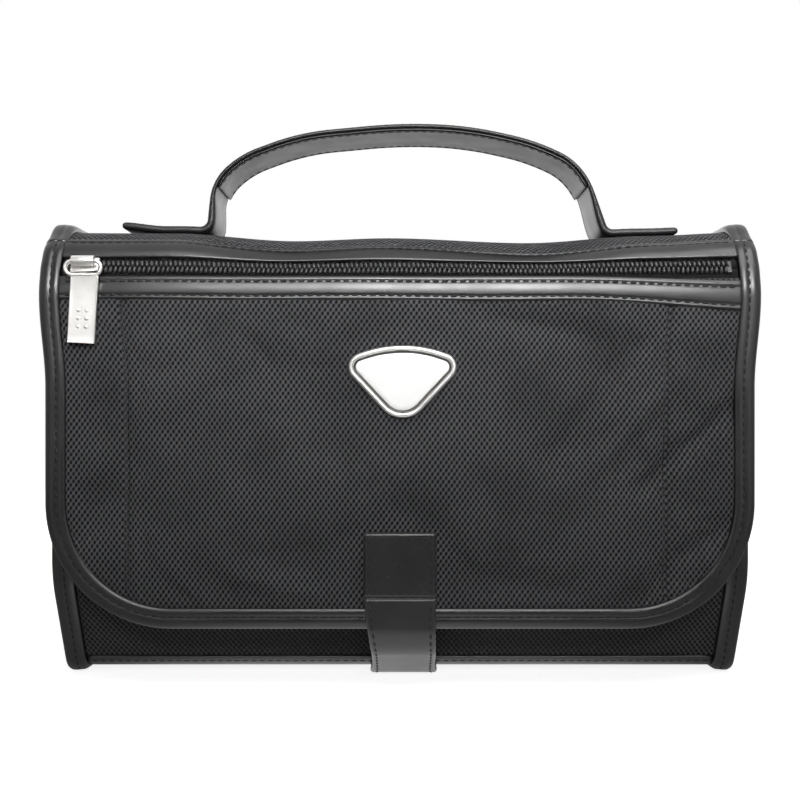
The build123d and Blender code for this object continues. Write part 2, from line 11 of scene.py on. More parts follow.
import numpy as np
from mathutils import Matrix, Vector


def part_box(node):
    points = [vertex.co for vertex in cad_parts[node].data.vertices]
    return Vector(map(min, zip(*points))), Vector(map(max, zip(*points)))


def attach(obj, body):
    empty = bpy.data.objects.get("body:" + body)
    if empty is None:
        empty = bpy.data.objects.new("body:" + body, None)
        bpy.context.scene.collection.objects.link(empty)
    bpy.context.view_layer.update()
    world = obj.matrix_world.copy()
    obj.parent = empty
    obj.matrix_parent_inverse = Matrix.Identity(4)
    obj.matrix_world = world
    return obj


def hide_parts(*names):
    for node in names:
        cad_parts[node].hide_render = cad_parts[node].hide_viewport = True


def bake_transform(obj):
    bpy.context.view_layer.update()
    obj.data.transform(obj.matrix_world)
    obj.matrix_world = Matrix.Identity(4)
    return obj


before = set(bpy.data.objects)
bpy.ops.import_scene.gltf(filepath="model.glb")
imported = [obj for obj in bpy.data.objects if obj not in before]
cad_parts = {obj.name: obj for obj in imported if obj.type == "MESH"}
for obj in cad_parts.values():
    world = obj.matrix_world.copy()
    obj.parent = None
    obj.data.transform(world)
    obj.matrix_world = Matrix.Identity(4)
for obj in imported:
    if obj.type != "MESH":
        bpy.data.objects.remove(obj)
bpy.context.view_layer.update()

MM = 0.001
LOG = logging.getLogger("bag")

Array = np.ndarray
Piece = bpy.types.Object
Material = bpy.types.Material
World = bpy.types.World
Socket = bpy.types.NodeSocket
Spot = tuple[float, float, float]
Ring = tuple[tuple[float, float], ...]
Row = tuple[Array, Array]
Rows = list[Row]
Place = Callable[[Array, Array], Array]
Carry = Callable[[Array, Array, Array], Array]


class Body(Enum):
    """The bodies that a piece can ride on."""

    ROOT = "root"
    FLAP = "flap"
    STRAP = "strap"
    STRAP_END = "strap_end"
    HANDLE = "handle"
    SLIDER = "slider"
    PULL = "pull"


class Side(Enum):
    """Left and right of the bag, seen from the front."""

    LEFT = -1
    RIGHT = 1

    @property
    def word(self) -> str:
        """Name of the side in lower case."""
        return self.name.lower()


# Small tools for curves


def smooth(value: Array, low: float, high: float) -> Array:
    """Smooth step from 0 at low to 1 at high."""
    t = np.clip((value - low) / (high - low), 0.0, 1.0)
    return t * t * (3.0 - 2.0 * t)


def eased(value: Array, knots: Sequence[float], levels: Sequence[float]) -> Array:
    """Curve through a few levels that eases in and out between its knots.

    Args:
        value: where to read the curve.
        knots: rising places of the levels.
        levels: the curve's value at each knot.

    Returns:
        The curve at each value.
    """
    result = np.full(np.shape(value), float(levels[0]))
    for low, high, start, end in zip(knots[:-1], knots[1:], levels[:-1], levels[1:]):
        result = result + (end - start) * smooth(value, low, high)
    return result


@dataclass
class Track:
    """A path of straight runs joined by round corners, read by its length."""

    corners: Sequence[tuple[float, float]]
    radii: Sequence[float]
    runs: list = field(default_factory=list)
    length: float = 0.0

    def __post_init__(self) -> None:
        """Works out the runs and arcs from the corners."""
        points = [Vector(corner) for corner in self.corners]
        start = points[0]
        for before, corner, after, radius in zip(points[:-2], points[1:-1], points[2:], self.radii):
            into = (corner - before).normalized()
            out = (after - corner).normalized()
            turn = into.angle_signed(out)
            trim = radius * math.tan(abs(turn) / 2)
            self._run(start, corner - into * trim)
            self._arc(corner - into * trim, into, -turn, radius)
            start = corner + out * trim
        self._run(start, points[-1])

    def _run(self, start: Vector, end: Vector) -> None:
        """Adds a straight run."""
        size = (end - start).length
        if size > 1e-9:
            self.runs.append((self.length, size, start.copy(), (end - start) / size, 0.0))
            self.length += size

    def _arc(self, start: Vector, heading: Vector, turn: float, radius: float) -> None:
        """Adds a round corner; a positive turn is anticlockwise."""
        size = abs(turn) * radius
        if size > 1e-9:
            self.runs.append((self.length, size, start.copy(), heading.copy(), turn))
            self.length += size

    def at(self, places: Array) -> tuple[Array, Array]:
        """Points and headings along the path.

        Args:
            places: lengths from the path's start.

        Returns:
            Two arrays of pairs: the points, and the unit headings.
        """
        flat = np.clip(np.asarray(places, float).ravel(), 0.0, self.length)
        points, headings = np.zeros((flat.size, 2)), np.zeros((flat.size, 2))
        for index, (begin, size, start, heading, turn) in enumerate(self.runs):
            last = index == len(self.runs) - 1
            inside = (flat >= begin) & ((flat < begin + size) | last)
            way = flat[inside] - begin
            if turn == 0.0:
                points[inside] = np.array(start) + way[:, None] * np.array(heading)
                headings[inside] = np.array(heading)
                continue
            radius = size / abs(turn)
            sign = math.copysign(1.0, turn)
            angle = sign * way / radius
            along, across = np.array(heading), sign * np.array((-heading[1], heading[0]))
            reach = np.sin(np.abs(angle))[:, None] * along + (1 - np.cos(angle))[:, None] * across
            points[inside] = np.array(start) + radius * reach
            headings[inside] = np.cos(angle)[:, None] * along + np.sin(np.abs(angle))[:, None] * across
        shape = (*np.shape(places), 2)
        return points.reshape(shape), headings.reshape(shape)

    def beside(self, places: Array, aside: Array) -> Array:
        """Points to the left of the path, by their lengths along it and distances from it."""
        points, headings = self.at(places)
        return points + np.stack([-headings[..., 1], headings[..., 0]], axis=-1) * aside[..., None]


def walked(path: Array) -> Array:
    """Length from a path's start to each of its points."""
    return np.concatenate([[0.0], np.cumsum(np.linalg.norm(np.diff(path, axis=0), axis=1))])


def read_along(path: Array, length: Array, where: Array) -> Array:
    """Points of a path at some lengths along it."""
    return np.stack([np.interp(where, length, column) for column in path.T], axis=1)


# Small tools for meshes


def deselect() -> None:
    """Leaves nothing selected."""
    bpy.ops.object.select_all(action="DESELECT")


def activate(piece: Piece) -> None:
    """Selects one object alone and makes it active."""
    deselect()
    piece.select_set(True)
    bpy.context.view_layer.objects.active = piece


def apply_modifiers(piece: Piece) -> None:
    """Applies every modifier of a piece, in order."""
    activate(piece)
    for modifier in list(piece.modifiers):
        bpy.ops.object.modifier_apply(modifier=modifier.name)


@contextmanager
def editing(piece: Piece) -> Iterator[None]:
    """Opens a piece in edit mode with all of it selected, and turns its faces outwards in the end."""
    activate(piece)
    bpy.ops.object.mode_set(mode="EDIT")
    bpy.ops.mesh.select_all(action="SELECT")
    yield
    bpy.ops.mesh.select_mode(type="VERT")
    bpy.ops.mesh.select_all(action="SELECT")
    bpy.ops.mesh.normals_make_consistent(inside=False)
    bpy.ops.object.mode_set(mode="OBJECT")


def settle(piece: Piece) -> Piece:
    """Puts an object's place, turn and scale into its mesh and returns the object."""
    activate(piece)
    bpy.ops.object.transform_apply(location=True, rotation=True, scale=True)
    return piece


def joined(name: str, *pieces: Piece) -> Piece:
    """Joins pieces into one object under a new name."""
    activate(pieces[0])
    for piece in pieces[1:]:
        piece.select_set(True)
    bpy.ops.object.join()
    pieces[0].name = name
    pieces[0].data.name = name
    return pieces[0]


def read_points(piece: Piece) -> Array:
    """Places of a mesh's points, one row each."""
    flat = np.zeros(len(piece.data.vertices) * 3, dtype=np.float32)
    piece.data.vertices.foreach_get("co", flat)
    return flat.reshape(-1, 3).astype(float)


def write_points(piece: Piece, points: Array) -> None:
    """Gives a mesh's points new places."""
    piece.data.vertices.foreach_set("co", np.ascontiguousarray(points, dtype=np.float32).ravel())
    piece.data.update()


def write_cloth_map(piece: Piece, cloth: Array) -> None:
    """Stores where each point lies in the flat cloth, in metres, as the piece's UV map.

    Args:
        piece: a mesh object.
        cloth: one pair for each point.
    """
    mesh = piece.data
    layer = mesh.uv_layers.active or mesh.uv_layers.new(name="UVMap")
    corners = np.zeros(len(mesh.loops), dtype=np.int32)
    mesh.loops.foreach_get("vertex_index", corners)
    layer.data.foreach_set("uv", cloth[corners].astype(np.float32).ravel())


def mapped_grid(
    name: str,
    columns: int,
    rows: int,
    place: Place,
    cloth: Place | None = None,
    ring: bool = False,
    capped: bool = False,
) -> Piece:
    """A grid primitive whose points are carried onto a surface.

    Args:
        name: the piece's name.
        columns: faces across.
        rows: faces along.
        place: gives the points from two shares, across and along, each from 0 to 1.
        cloth: gives the flat place of each point, in metres.
        ring: whether the two sides across meet and are merged.
        capped: whether a ring's open ends are closed.

    Returns:
        The new object.
    """
    deselect()
    bpy.ops.mesh.primitive_grid_add(x_subdivisions=columns, y_subdivisions=rows, size=1.0)
    piece = bpy.context.object
    piece.name = name
    piece.data.name = name
    start = read_points(piece)
    across = np.clip(start[:, 0] + 0.5, 0.0, 1.0)
    along = np.clip(start[:, 1] + 0.5, 0.0, 1.0)
    write_points(piece, place(across, along))
    if cloth is not None:
        write_cloth_map(piece, cloth(across, along))
    if ring:
        with editing(piece):
            bpy.ops.mesh.remove_doubles(threshold=0.01 * MM)
            if capped:
                bpy.ops.mesh.fill_holes(sides=0)
    bpy.ops.object.shade_smooth()
    return piece


def swept(name: str, section: Sequence | Array, stations: int, carry: Carry) -> Piece:
    """A closed section carried along a path.

    Args:
        name: the piece's name.
        section: corners of the section in order, as distance across and height, in metres.
        stations: faces along the path.
        carry: gives the points from distance across, height and share along the path.

    Returns:
        The new object, with its ends closed.
    """
    corners = np.array(section)
    count = len(corners)

    def place(across: Array, along: Array) -> Array:
        """Finds each point's section corner and carries it."""
        index = np.rint(across * count).astype(int) % count
        return carry(corners[index, 0], corners[index, 1], along)

    return mapped_grid(name, count, stations, place, ring=True, capped=True)


def strip_section(
    width: float, rise: float, sunk: float, edge: float, rows: Sequence[float] = (), groove: float = 0.4 * MM
) -> list[tuple[float, float]]:
    """Section of a leather strip with turned edges, dipped along its stitch rows.

    Args:
        width: distance between its edges.
        rise: height of its face.
        sunk: depth of its underside.
        edge: how far its round edges reach in.
        rows: distances of its stitch rows from its first edge.
        groove: how deep the thread pulls the face down.

    Returns:
        The corners of the closed section.
    """
    round_edge = (0.0, 0.12 * edge, 0.4 * edge, edge)
    places = {*round_edge, *(width - place for place in round_edge)}
    step = 0.5 * MM
    for row in rows:
        places |= {row - 2 * step, row - step, row, row + step, row + 2 * step}
    ordered = sorted(place for place in places if 0.0 <= place <= width)
    face = []
    for place in ordered:
        reach = min(place, width - place, edge) / edge
        height = rise * math.sqrt(max(0.0, 1.0 - (1.0 - reach) ** 2))
        for row in rows:
            height -= groove * math.exp(-(((place - row) / (0.8 * step)) ** 2))
        face.append((place, height))
    return [*face, (width, -sunk), (width / 2, -sunk), (0.0, -sunk)]


def stamped(name: str, model: Piece, places: Array, frames: Array) -> Piece:
    """Copies of one small model joined in a single mesh; the model is removed.

    Args:
        name: the piece's name.
        model: what is copied, around the origin.
        places: one point for each copy.
        frames: for each copy, the directions of the model's X, Y and Z, as rows.

    Returns:
        The new object.
    """
    shape = read_points(model)
    faces = [tuple(face.vertices) for face in model.data.polygons]
    points = (shape @ frames + places[:, None, :]).reshape(-1, 3)
    count = len(shape)
    copied = [tuple(i + count * turn for i in face) for turn in range(len(places)) for face in faces]
    mesh = bpy.data.meshes.new(name)
    mesh.from_pydata(points.tolist(), [], copied)
    mesh.update()
    bpy.data.objects.remove(model)
    piece = bpy.data.objects.new(name, mesh)
    bpy.context.scene.collection.objects.link(piece)
    activate(piece)
    bpy.ops.object.shade_smooth()
    return piece


def bead(segments: int, rings: int, turn: Spot, size: Spot) -> Piece:
    """A round bead around the origin.

    Args:
        segments: faces around it.
        rings: faces from pole to pole.
        turn: angles by which its poles are turned away from Z.
        size: its size in X, Y and Z.

    Returns:
        The new object.
    """
    deselect()
    bpy.ops.mesh.primitive_uv_sphere_add(segments=segments, ring_count=rings, radius=0.5)
    model = bpy.context.object
    model.rotation_euler = turn
    settle(model)
    model.scale = size
    return settle(model)


def unit(vectors: Array) -> Array:
    """The same directions with a length of one."""
    return vectors / np.maximum(np.linalg.norm(vectors, axis=-1, keepdims=True), 1e-12)


@dataclass(frozen=True)
class Thread:
    """Sewing thread and its stitch."""

    pitch: float = 3.5 * MM
    length: float = 2.55 * MM
    width: float = 1.15 * MM
    height: float = 0.5 * MM
    lean: float = math.radians(4.0)

    def rows(self, name: str, paths: Rows) -> Piece:
        """Stitches along several paths, joined in one mesh.

        Args:
            name: the piece's name.
            paths: for each row, its points and the outward normals.

        Returns:
            One mesh with all the stitches.
        """
        places, frames = [], []
        for path, lift in paths:
            length = walked(path)
            count = max(1, int(length[-1] / self.pitch))
            middle = (np.arange(count) + 0.5) * length[-1] / count
            half = self.length / 2
            ahead = read_along(path, length, middle + half) - read_along(path, length, middle - half)
            up = unit(read_along(lift, length, middle))
            forward = unit(ahead)
            side = unit(np.cross(up, forward))
            forward = math.cos(self.lean) * forward + math.sin(self.lean) * side
            side = unit(np.cross(up, forward))
            places.append(read_along(path, length, middle))
            frames.append(np.stack([forward, side, np.cross(forward, side)], axis=1))
        model = bead(6, 4, (0.0, math.pi / 2, 0.0), (self.length, self.width, self.height))
        return stamped(name, model, np.concatenate(places), np.concatenate(frames))


# Finishes


class Recipe:
    """The nodes of one material or of the world, with short ways to add the usual ones."""

    def __init__(self, name: str, world: bool = False) -> None:
        """Starts a material with a plain shader, or a world with a plain background.

        Args:
            name: the material's or the world's name.
            world: whether it is a world.
        """
        self.owner = bpy.data.worlds.new(name) if world else bpy.data.materials.new(name)
        self.owner.use_nodes = True
        self.tree = self.owner.node_tree
        self.shader = self.tree.nodes["Background" if world else "Principled BSDF"]

    def node(self, kind: str, feeds: dict | None = None, **settings: object) -> bpy.types.Node:
        """Adds a node, sets its properties and feeds its sockets.

        Args:
            kind: the node's type.
            feeds: for each socket, by name or number, what it is fed.
            settings: the properties.

        Returns:
            The new node.
        """
        made = self.tree.nodes.new(kind)
        for key, value in settings.items():
            setattr(made, key, value)
        for key, value in (feeds or {}).items():
            self.feed(made.inputs[key], value)
        return made

    def feed(self, socket: Socket, value: object) -> None:
        """Links a socket to another, or sets it to a value."""
        if isinstance(value, Socket):
            self.tree.links.new(value, socket)
        else:
            socket.default_value = value

    def place(self) -> Socket:
        """The point's place on the object, in metres."""
        return self.node("ShaderNodeTexCoord").outputs["Object"]

    def split(self, where: Socket) -> tuple[Socket, ...]:
        """X, Y and Z of a place."""
        return tuple(self.node("ShaderNodeSeparateXYZ", {0: where}).outputs)

    def cloth(self) -> tuple[Socket, ...]:
        """The point's place in the flat cloth, across and along, in metres."""
        return self.split(self.node("ShaderNodeTexCoord").outputs["UV"])[:2]

    def math(self, operation: str, *values: object) -> Socket:
        """Adds one step of arithmetic and returns its result."""
        return self.node("ShaderNodeMath", dict(enumerate(values)), operation=operation).outputs[0]

    def noise(self, where: Socket, size: float, detail: float = 3.0, rough: float = 0.5) -> Socket:
        """Soft noise whose spots are about the given size in metres."""
        feeds = {"Vector": where, "Scale": 1.0 / size, "Detail": detail, "Roughness": rough}
        return self.node("ShaderNodeTexNoise", feeds).outputs["Fac"]

    def cells(self, where: Socket, size: float) -> Socket:
        """Distance to the nearest cell of about the given size in metres."""
        return self.node("ShaderNodeTexVoronoi", {"Vector": where, "Scale": 1.0 / size}).outputs["Distance"]

    def stretched(self, where: Socket, scale: Spot) -> Socket:
        """A place with its axes scaled, for patterns that run one way."""
        return self.node("ShaderNodeMapping", {"Vector": where, "Scale": scale}).outputs[0]

    def span(self, value: object, low: float, high: float, start: float = 0.0, end: float = 1.0) -> Socket:
        """Carries a value from one range smoothly to another."""
        feeds = dict(enumerate((value, low, high, start, end)))
        return self.node("ShaderNodeMapRange", feeds, interpolation_type="SMOOTHSTEP").outputs[0]

    def blend(self, factor: object, first: object, second: object) -> Socket:
        """Mixes two colours."""
        return self.node("ShaderNodeMix", {0: factor, 6: first, 7: second}, data_type="RGBA").outputs[2]

    def bump(self, height: Socket, depth: float, strength: float, under: Socket | None = None) -> Socket:
        """Turns a height from 0 to 1 into a relief of the given depth in metres."""
        feeds = {"Strength": strength, "Distance": depth, "Height": height}
        if under is not None:
            feeds["Normal"] = under
        return self.node("ShaderNodeBump", feeds).outputs[0]

    def finish(self, **values: object) -> Material | World:
        """Feeds the shader's sockets, named with underscores, and returns the material or the world."""
        for key, value in values.items():
            self.feed(self.shader.inputs[key.replace("_", " ")], value)
        return self.owner


def grey(level: float, blue: float = 1.0) -> tuple[float, float, float, float]:
    """A grey, a little blue where blue is over one."""
    return (level, level, level * blue, 1.0)


@dataclass(frozen=True)
class WovenCloth:
    """Heavy black cloth with staggered pits between raised yarns; the pits are painted dark (painted shade)
    and the slanted ridges light (painted highlight).
    """

    name: str = "woven_cloth"
    across: float = 2.14 * MM
    along: float = 1.5 * MM
    relief: float = 0.22 * MM
    yarn: float = 0.076
    pit_shade: float = 0.002

    def make(self) -> Material:
        """The cloth's material, laid out on the piece's flat cloth map."""
        mix = Recipe(self.name)
        wide, tall = mix.cloth()
        place = mix.place()
        drift = mix.math("MULTIPLY", mix.math("SUBTRACT", mix.noise(place, 9 * MM), 0.5), 1.1)
        first = mix.math("MULTIPLY_ADD", wide, 2 * math.pi / self.across, drift)
        second = mix.math("MULTIPLY", tall, math.pi / self.along)
        rising = mix.math("COSINE", mix.math("SUBTRACT", first, second))
        falling = mix.math("COSINE", mix.math("ADD", first, second))
        both = mix.math("MULTIPLY", mix.math("ADD", rising, falling), 0.5)
        pits = mix.span(both, -0.4, 0.7)
        patch = mix.span(mix.noise(place, 30 * MM, 1.0), 0.3, 0.65, 0.35, 1.0)
        # slanted ridges: relief in the bump, and painted highlight in the colour below
        ribs = mix.math("MULTIPLY", mix.math("MULTIPLY_ADD", falling, -0.5, 0.5), patch)
        fibre = mix.noise(mix.stretched(place, (1.0, 1.0, 3.0)), 0.35 * MM, 2.0)
        height = mix.math("SUBTRACT", mix.math("MULTIPLY_ADD", ribs, 0.35, 1.0), pits)
        height = mix.math("MULTIPLY_ADD", fibre, 0.3, height)
        worn = mix.span(mix.noise(place, 45 * MM, 2.0), 0.3, 0.7, 0.85, 1.15)
        # the yarn is painted lighter along the slanted ridges, patch by patch: painted highlight; worn adds
        # random tone on top
        light = mix.math("MULTIPLY", mix.math("MULTIPLY_ADD", ribs, 0.65, 0.6), worn)
        yarn = mix.blend(light, grey(0.0), grey(self.yarn, 1.06))
        return mix.finish(
            # the pits are painted near black: painted shade in the pits
            Base_Color=mix.blend(pits, yarn, grey(self.pit_shade)),
            Roughness=mix.span(fibre, 0.2, 0.8, 0.62, 0.82),
            Normal=mix.bump(height, self.relief, 0.9),
            Specular_IOR_Level=0.15,
            Sheen_Weight=0.02,
            Sheen_Roughness=0.4,
        )


@dataclass(frozen=True)
class LiningCloth:
    """Thin dark lining with a fine plain weave and a slight sheen."""

    name: str = "lining_cloth"
    thread: float = 0.55 * MM
    relief: float = 0.05 * MM
    shade: float = 0.03

    def make(self) -> Material:
        """The lining's material, laid out on the piece's flat cloth map."""
        mix = Recipe(self.name)
        wide, tall = mix.cloth()
        place = mix.place()
        warp = mix.math("SINE", mix.math("MULTIPLY", wide, 2 * math.pi / self.thread))
        weft = mix.math("SINE", mix.math("MULTIPLY", tall, 2 * math.pi / self.thread))
        weave = mix.math("MULTIPLY_ADD", mix.math("MULTIPLY", warp, weft), 0.5, 0.5)
        creases = mix.noise(place, 14 * MM, 3.0)
        # the colour follows the crease relief, darker and lighter: painted shade on the folds
        shade = mix.span(creases, 0.3, 0.7, 0.8, 1.2)
        light = mix.math("MULTIPLY", shade, mix.math("MULTIPLY_ADD", weave, 0.35, 0.65))
        colour = mix.blend(light, grey(0.004), grey(self.shade, 1.1))
        soft = mix.bump(creases, 0.5 * MM, 0.5)
        return mix.finish(
            Base_Color=colour,
            Roughness=mix.span(weave, 0.0, 1.0, 0.5, 0.62),
            Normal=mix.bump(weave, self.relief, 0.8, soft),
            Sheen_Weight=0.15,
            Sheen_Roughness=0.35,
        )


@dataclass(frozen=True)
class Leather:
    """Smooth black leather with a fine grain and a soft gloss."""

    name: str = "leather"
    grain: float = 0.55 * MM
    relief: float = 0.004 * MM
    shade: float = 0.005
    gloss: float = 0.29
    mirror: float = 0.7

    def make(self) -> Material:
        """The leather's material."""
        mix = Recipe(self.name)
        place = mix.place()
        pebbles = mix.cells(place, self.grain)
        fine = mix.noise(place, 0.25 * MM, 3.0)
        waves = mix.noise(place, 8 * MM, 1.0)
        height = mix.math("MULTIPLY_ADD", fine, 0.35, mix.math("SUBTRACT", 1.0, pebbles))
        rubbed = mix.span(mix.noise(place, 11 * MM, 4.0, 0.6), 0.45, 0.75)
        colour = mix.blend(rubbed, grey(self.shade * 0.8, 1.03), grey(self.shade * 1.5, 1.06))
        soft = mix.bump(waves, 0.02 * MM, 0.5)
        return mix.finish(
            Base_Color=colour,
            Roughness=mix.span(mix.noise(place, 12 * MM, 1.0), 0.2, 0.8, self.gloss, self.gloss + 0.08),
            Normal=mix.bump(height, self.relief, 0.35, soft),
            Specular_IOR_Level=self.mirror,
            Coat_Weight=0.08,
            Coat_Roughness=0.42,
        )


@dataclass(frozen=True)
class TapeWeave:
    """Zipper tape with fine slanted ribs."""

    name: str = "tape_weave"
    rib: float = 0.7 * MM

    def make(self) -> Material:
        """The tape's material."""
        mix = Recipe(self.name)
        place = mix.place()
        across, _, up = mix.split(place)
        slant = mix.math("MULTIPLY_ADD", up, 1.3, across)
        ribs = mix.math("SINE", mix.math("MULTIPLY", slant, 2 * math.pi / self.rib))
        height = mix.math("MULTIPLY_ADD", ribs, 0.5, 0.5)
        lint = mix.noise(place, 0.3 * MM, 2.0)
        return mix.finish(
            Base_Color=mix.blend(mix.math("MULTIPLY", height, lint), grey(0.003), grey(0.014, 1.05)),
            Roughness=mix.span(lint, 0.3, 0.7, 0.7, 0.9),
            Normal=mix.bump(height, 0.1 * MM, 0.8),
            Specular_IOR_Level=0.2,
            Sheen_Weight=0.04,
        )


@dataclass(frozen=True)
class Nylon:
    """Moulded black nylon of the coil, or waxed sewing thread."""

    name: str = "nylon"
    shade: float = 0.03
    rough: float = 0.42
    strand: float = 0.4 * MM

    def make(self) -> Material:
        """The nylon's material."""
        mix = Recipe(self.name)
        place = mix.place()
        strands = mix.noise(mix.stretched(place, (2.5, 1.0, 1.0)), self.strand, 2.0)
        colour = mix.blend(strands, grey(self.shade * 0.6), grey(self.shade * 1.4, 1.04))
        return mix.finish(
            Base_Color=colour,
            Roughness=mix.span(strands, 0.3, 0.7, self.rough - 0.06, self.rough + 0.1),
            Normal=mix.bump(strands, 0.05 * MM, 0.6),
        )


@dataclass(frozen=True)
class SatinMetal:
    """Nickel-plated metal with a fine brushed face and small wear marks."""

    name: str = "satin_metal"
    shade: float = 0.88
    rough: float = 0.36
    across: Spot = (1.0, 1.0, 14.0)

    def make(self) -> Material:
        """The metal's material."""
        mix = Recipe(self.name)
        place = mix.place()
        lines = mix.noise(mix.stretched(place, self.across), 1.2 * MM, 4.0, 0.6)
        smudge = mix.noise(place, 4 * MM, 3.0)
        nicks = mix.span(mix.cells(place, 2.3 * MM), 0.0, 0.04, 1.0, 0.0)
        rough = mix.math("MULTIPLY_ADD", lines, 0.08, self.rough - 0.08)
        dull = (self.shade * 0.94, self.shade * 0.92, self.shade * 0.89, 1.0)
        clean = (self.shade * 1.08, self.shade * 1.06, self.shade * 1.03, 1.0)
        colour = mix.blend(smudge, dull, clean)
        height = mix.math("MULTIPLY_ADD", nicks, -0.3, mix.math("MULTIPLY", lines, 0.4))
        return mix.finish(
            Base_Color=colour,
            Metallic=1.0,
            Roughness=mix.math("MULTIPLY_ADD", smudge, 0.08, rough),
            Normal=mix.bump(height, 0.006 * MM, 0.4),
        )


@dataclass(frozen=True)
class Enamel:
    """Glossy white enamel, poured a little unevenly."""

    name: str = "white_enamel"

    def make(self) -> Material:
        """The enamel's material."""
        mix = Recipe(self.name)
        place = mix.place()
        pour = mix.noise(place, 7 * MM, 2.0)
        specks = mix.span(mix.cells(place, 1.4 * MM), 0.0, 0.05, 1.0, 0.0)
        white = mix.blend(pour, (0.9, 0.9, 0.885, 1.0), (0.96, 0.96, 0.95, 1.0))
        return mix.finish(
            Base_Color=mix.blend(mix.math("MULTIPLY", specks, 0.25), white, (0.6, 0.58, 0.55, 1.0)),
            Roughness=mix.span(pour, 0.3, 0.7, 0.12, 0.2),
            Normal=mix.bump(pour, 0.05 * MM, 0.4),
            Coat_Weight=0.6,
            Coat_Roughness=0.06,
        )


@dataclass(frozen=True)
class Fuzz:
    """Hook or loop tape, foam or elastic: a soft surface of small tufts."""

    name: str
    shade: float
    tuft: float
    relief: float

    def make(self) -> Material:
        """The tufted material."""
        mix = Recipe(self.name)
        place = mix.place()
        tufts = mix.cells(place, self.tuft)
        fine = mix.noise(place, self.tuft * 0.4, 3.0)
        height = mix.math("SUBTRACT", mix.math("MULTIPLY", fine, 0.6), tufts)
        colour = mix.blend(mix.span(height, -0.5, 0.5), grey(self.shade * 0.4), grey(self.shade * 1.5, 1.04))
        return mix.finish(
            Base_Color=colour,
            Roughness=mix.span(fine, 0.3, 0.7, 0.75, 0.95),
            Normal=mix.bump(height, self.relief, 0.9),
            Sheen_Weight=0.25,
        )


class Finishes:
    """Every material of the bag, made once."""

    def __init__(self) -> None:
        """Makes all the materials."""
        self.cloth = WovenCloth().make()
        self.lining = LiningCloth().make()
        self.leather = Leather().make()
        self.handle_leather = Leather("handle_leather", gloss=0.36, mirror=0.42).make()
        self.tape = TapeWeave().make()
        self.coil = Nylon("coil_nylon", 0.05, 0.34).make()
        self.thread = Nylon("sewing_thread", 0.004, 0.7, 0.25 * MM).make()
        self.metal = SatinMetal().make()
        # a dark copy of the satin metal for the badge rim's groove: painted shade and painted dark
        # reflection
        self.groove_shade = SatinMetal("groove_shade_metal", 0.12, 0.45).make()
        self.enamel = Enamel().make()
        self.hooks = Fuzz("hook_and_loop", 0.03, 0.7 * MM, 0.3 * MM).make()
        self.board = Fuzz("pressed_board", 0.2, 2.4 * MM, 0.05 * MM).make()
        self.elastic = Fuzz("elastic_band", 0.03, 0.5 * MM, 0.12 * MM).make()


def dress(piece: Piece, *materials: Material) -> Piece:
    """Gives a piece its materials in place of any it had.

    Args:
        piece: the object to dress.
        materials: the materials of its slots, in order.

    Returns:
        The same object.
    """
    piece.data.materials.clear()
    for material in materials:
        piece.data.materials.append(material)
    return piece


@dataclass(frozen=True)
class Bend:
    """Where a piece goes over from one body to the next."""

    near: Body
    far: Body
    start: Spot
    end: Spot


def join_bag(piece: Piece, body: Body | Bend, slot: str, *replaced: str) -> Piece:
    """Fixes a finished piece to its body, or for a bend only bakes its place into its mesh, and hides the
    solids that it stands for.

    Args:
        piece: the finished object.
        body: the body it moves with, or its bend.
        slot: the record's material slot; not used.
        replaced: the solids that it stands for.

    Returns:
        The same object.
    """
    if isinstance(body, Bend):
        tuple(body.start)
        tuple(body.end)
        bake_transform(piece)
    else:
        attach(piece, body.value)
    if replaced:
        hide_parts(*replaced)
    LOG.info("%s moves with %s", piece.name, body)
    return piece


# The bag's shape


# The zipper's opening starts at this angle on the rounding, in degrees from straight up
OPENING = 57.6
# Where the cover and its bindings go over from the body to the flap, on top of the bag
CREST_BEND = Bend(Body.ROOT, Body.FLAP, (0, -19.5 * MM, 0), (0, -27.5 * MM, 0))


def raised(at: Carry, across: Array | float, along: Array, low: Array | float, high: Array | float) -> Row:
    """A row on a surface at a low height, with its directions towards a high one."""
    path = at(across, along, low)
    return path, unit(at(across, along, high) - path)


def puffed(points: Array) -> Array:
    """The same points with the bag's full upper front a little wider than its bottom.

    Args:
        points: places on the even bag.

    Returns:
        The places on the filled bag.
    """
    share = smooth(points[..., 2], 120 * MM, 156 * MM) * (1.0 - smooth(points[..., 1], -4 * MM, 34 * MM))
    wide = points[..., 0] * (1.0 + 0.018 * share)
    return np.concatenate([wide[..., None], points[..., 1:]], axis=-1)


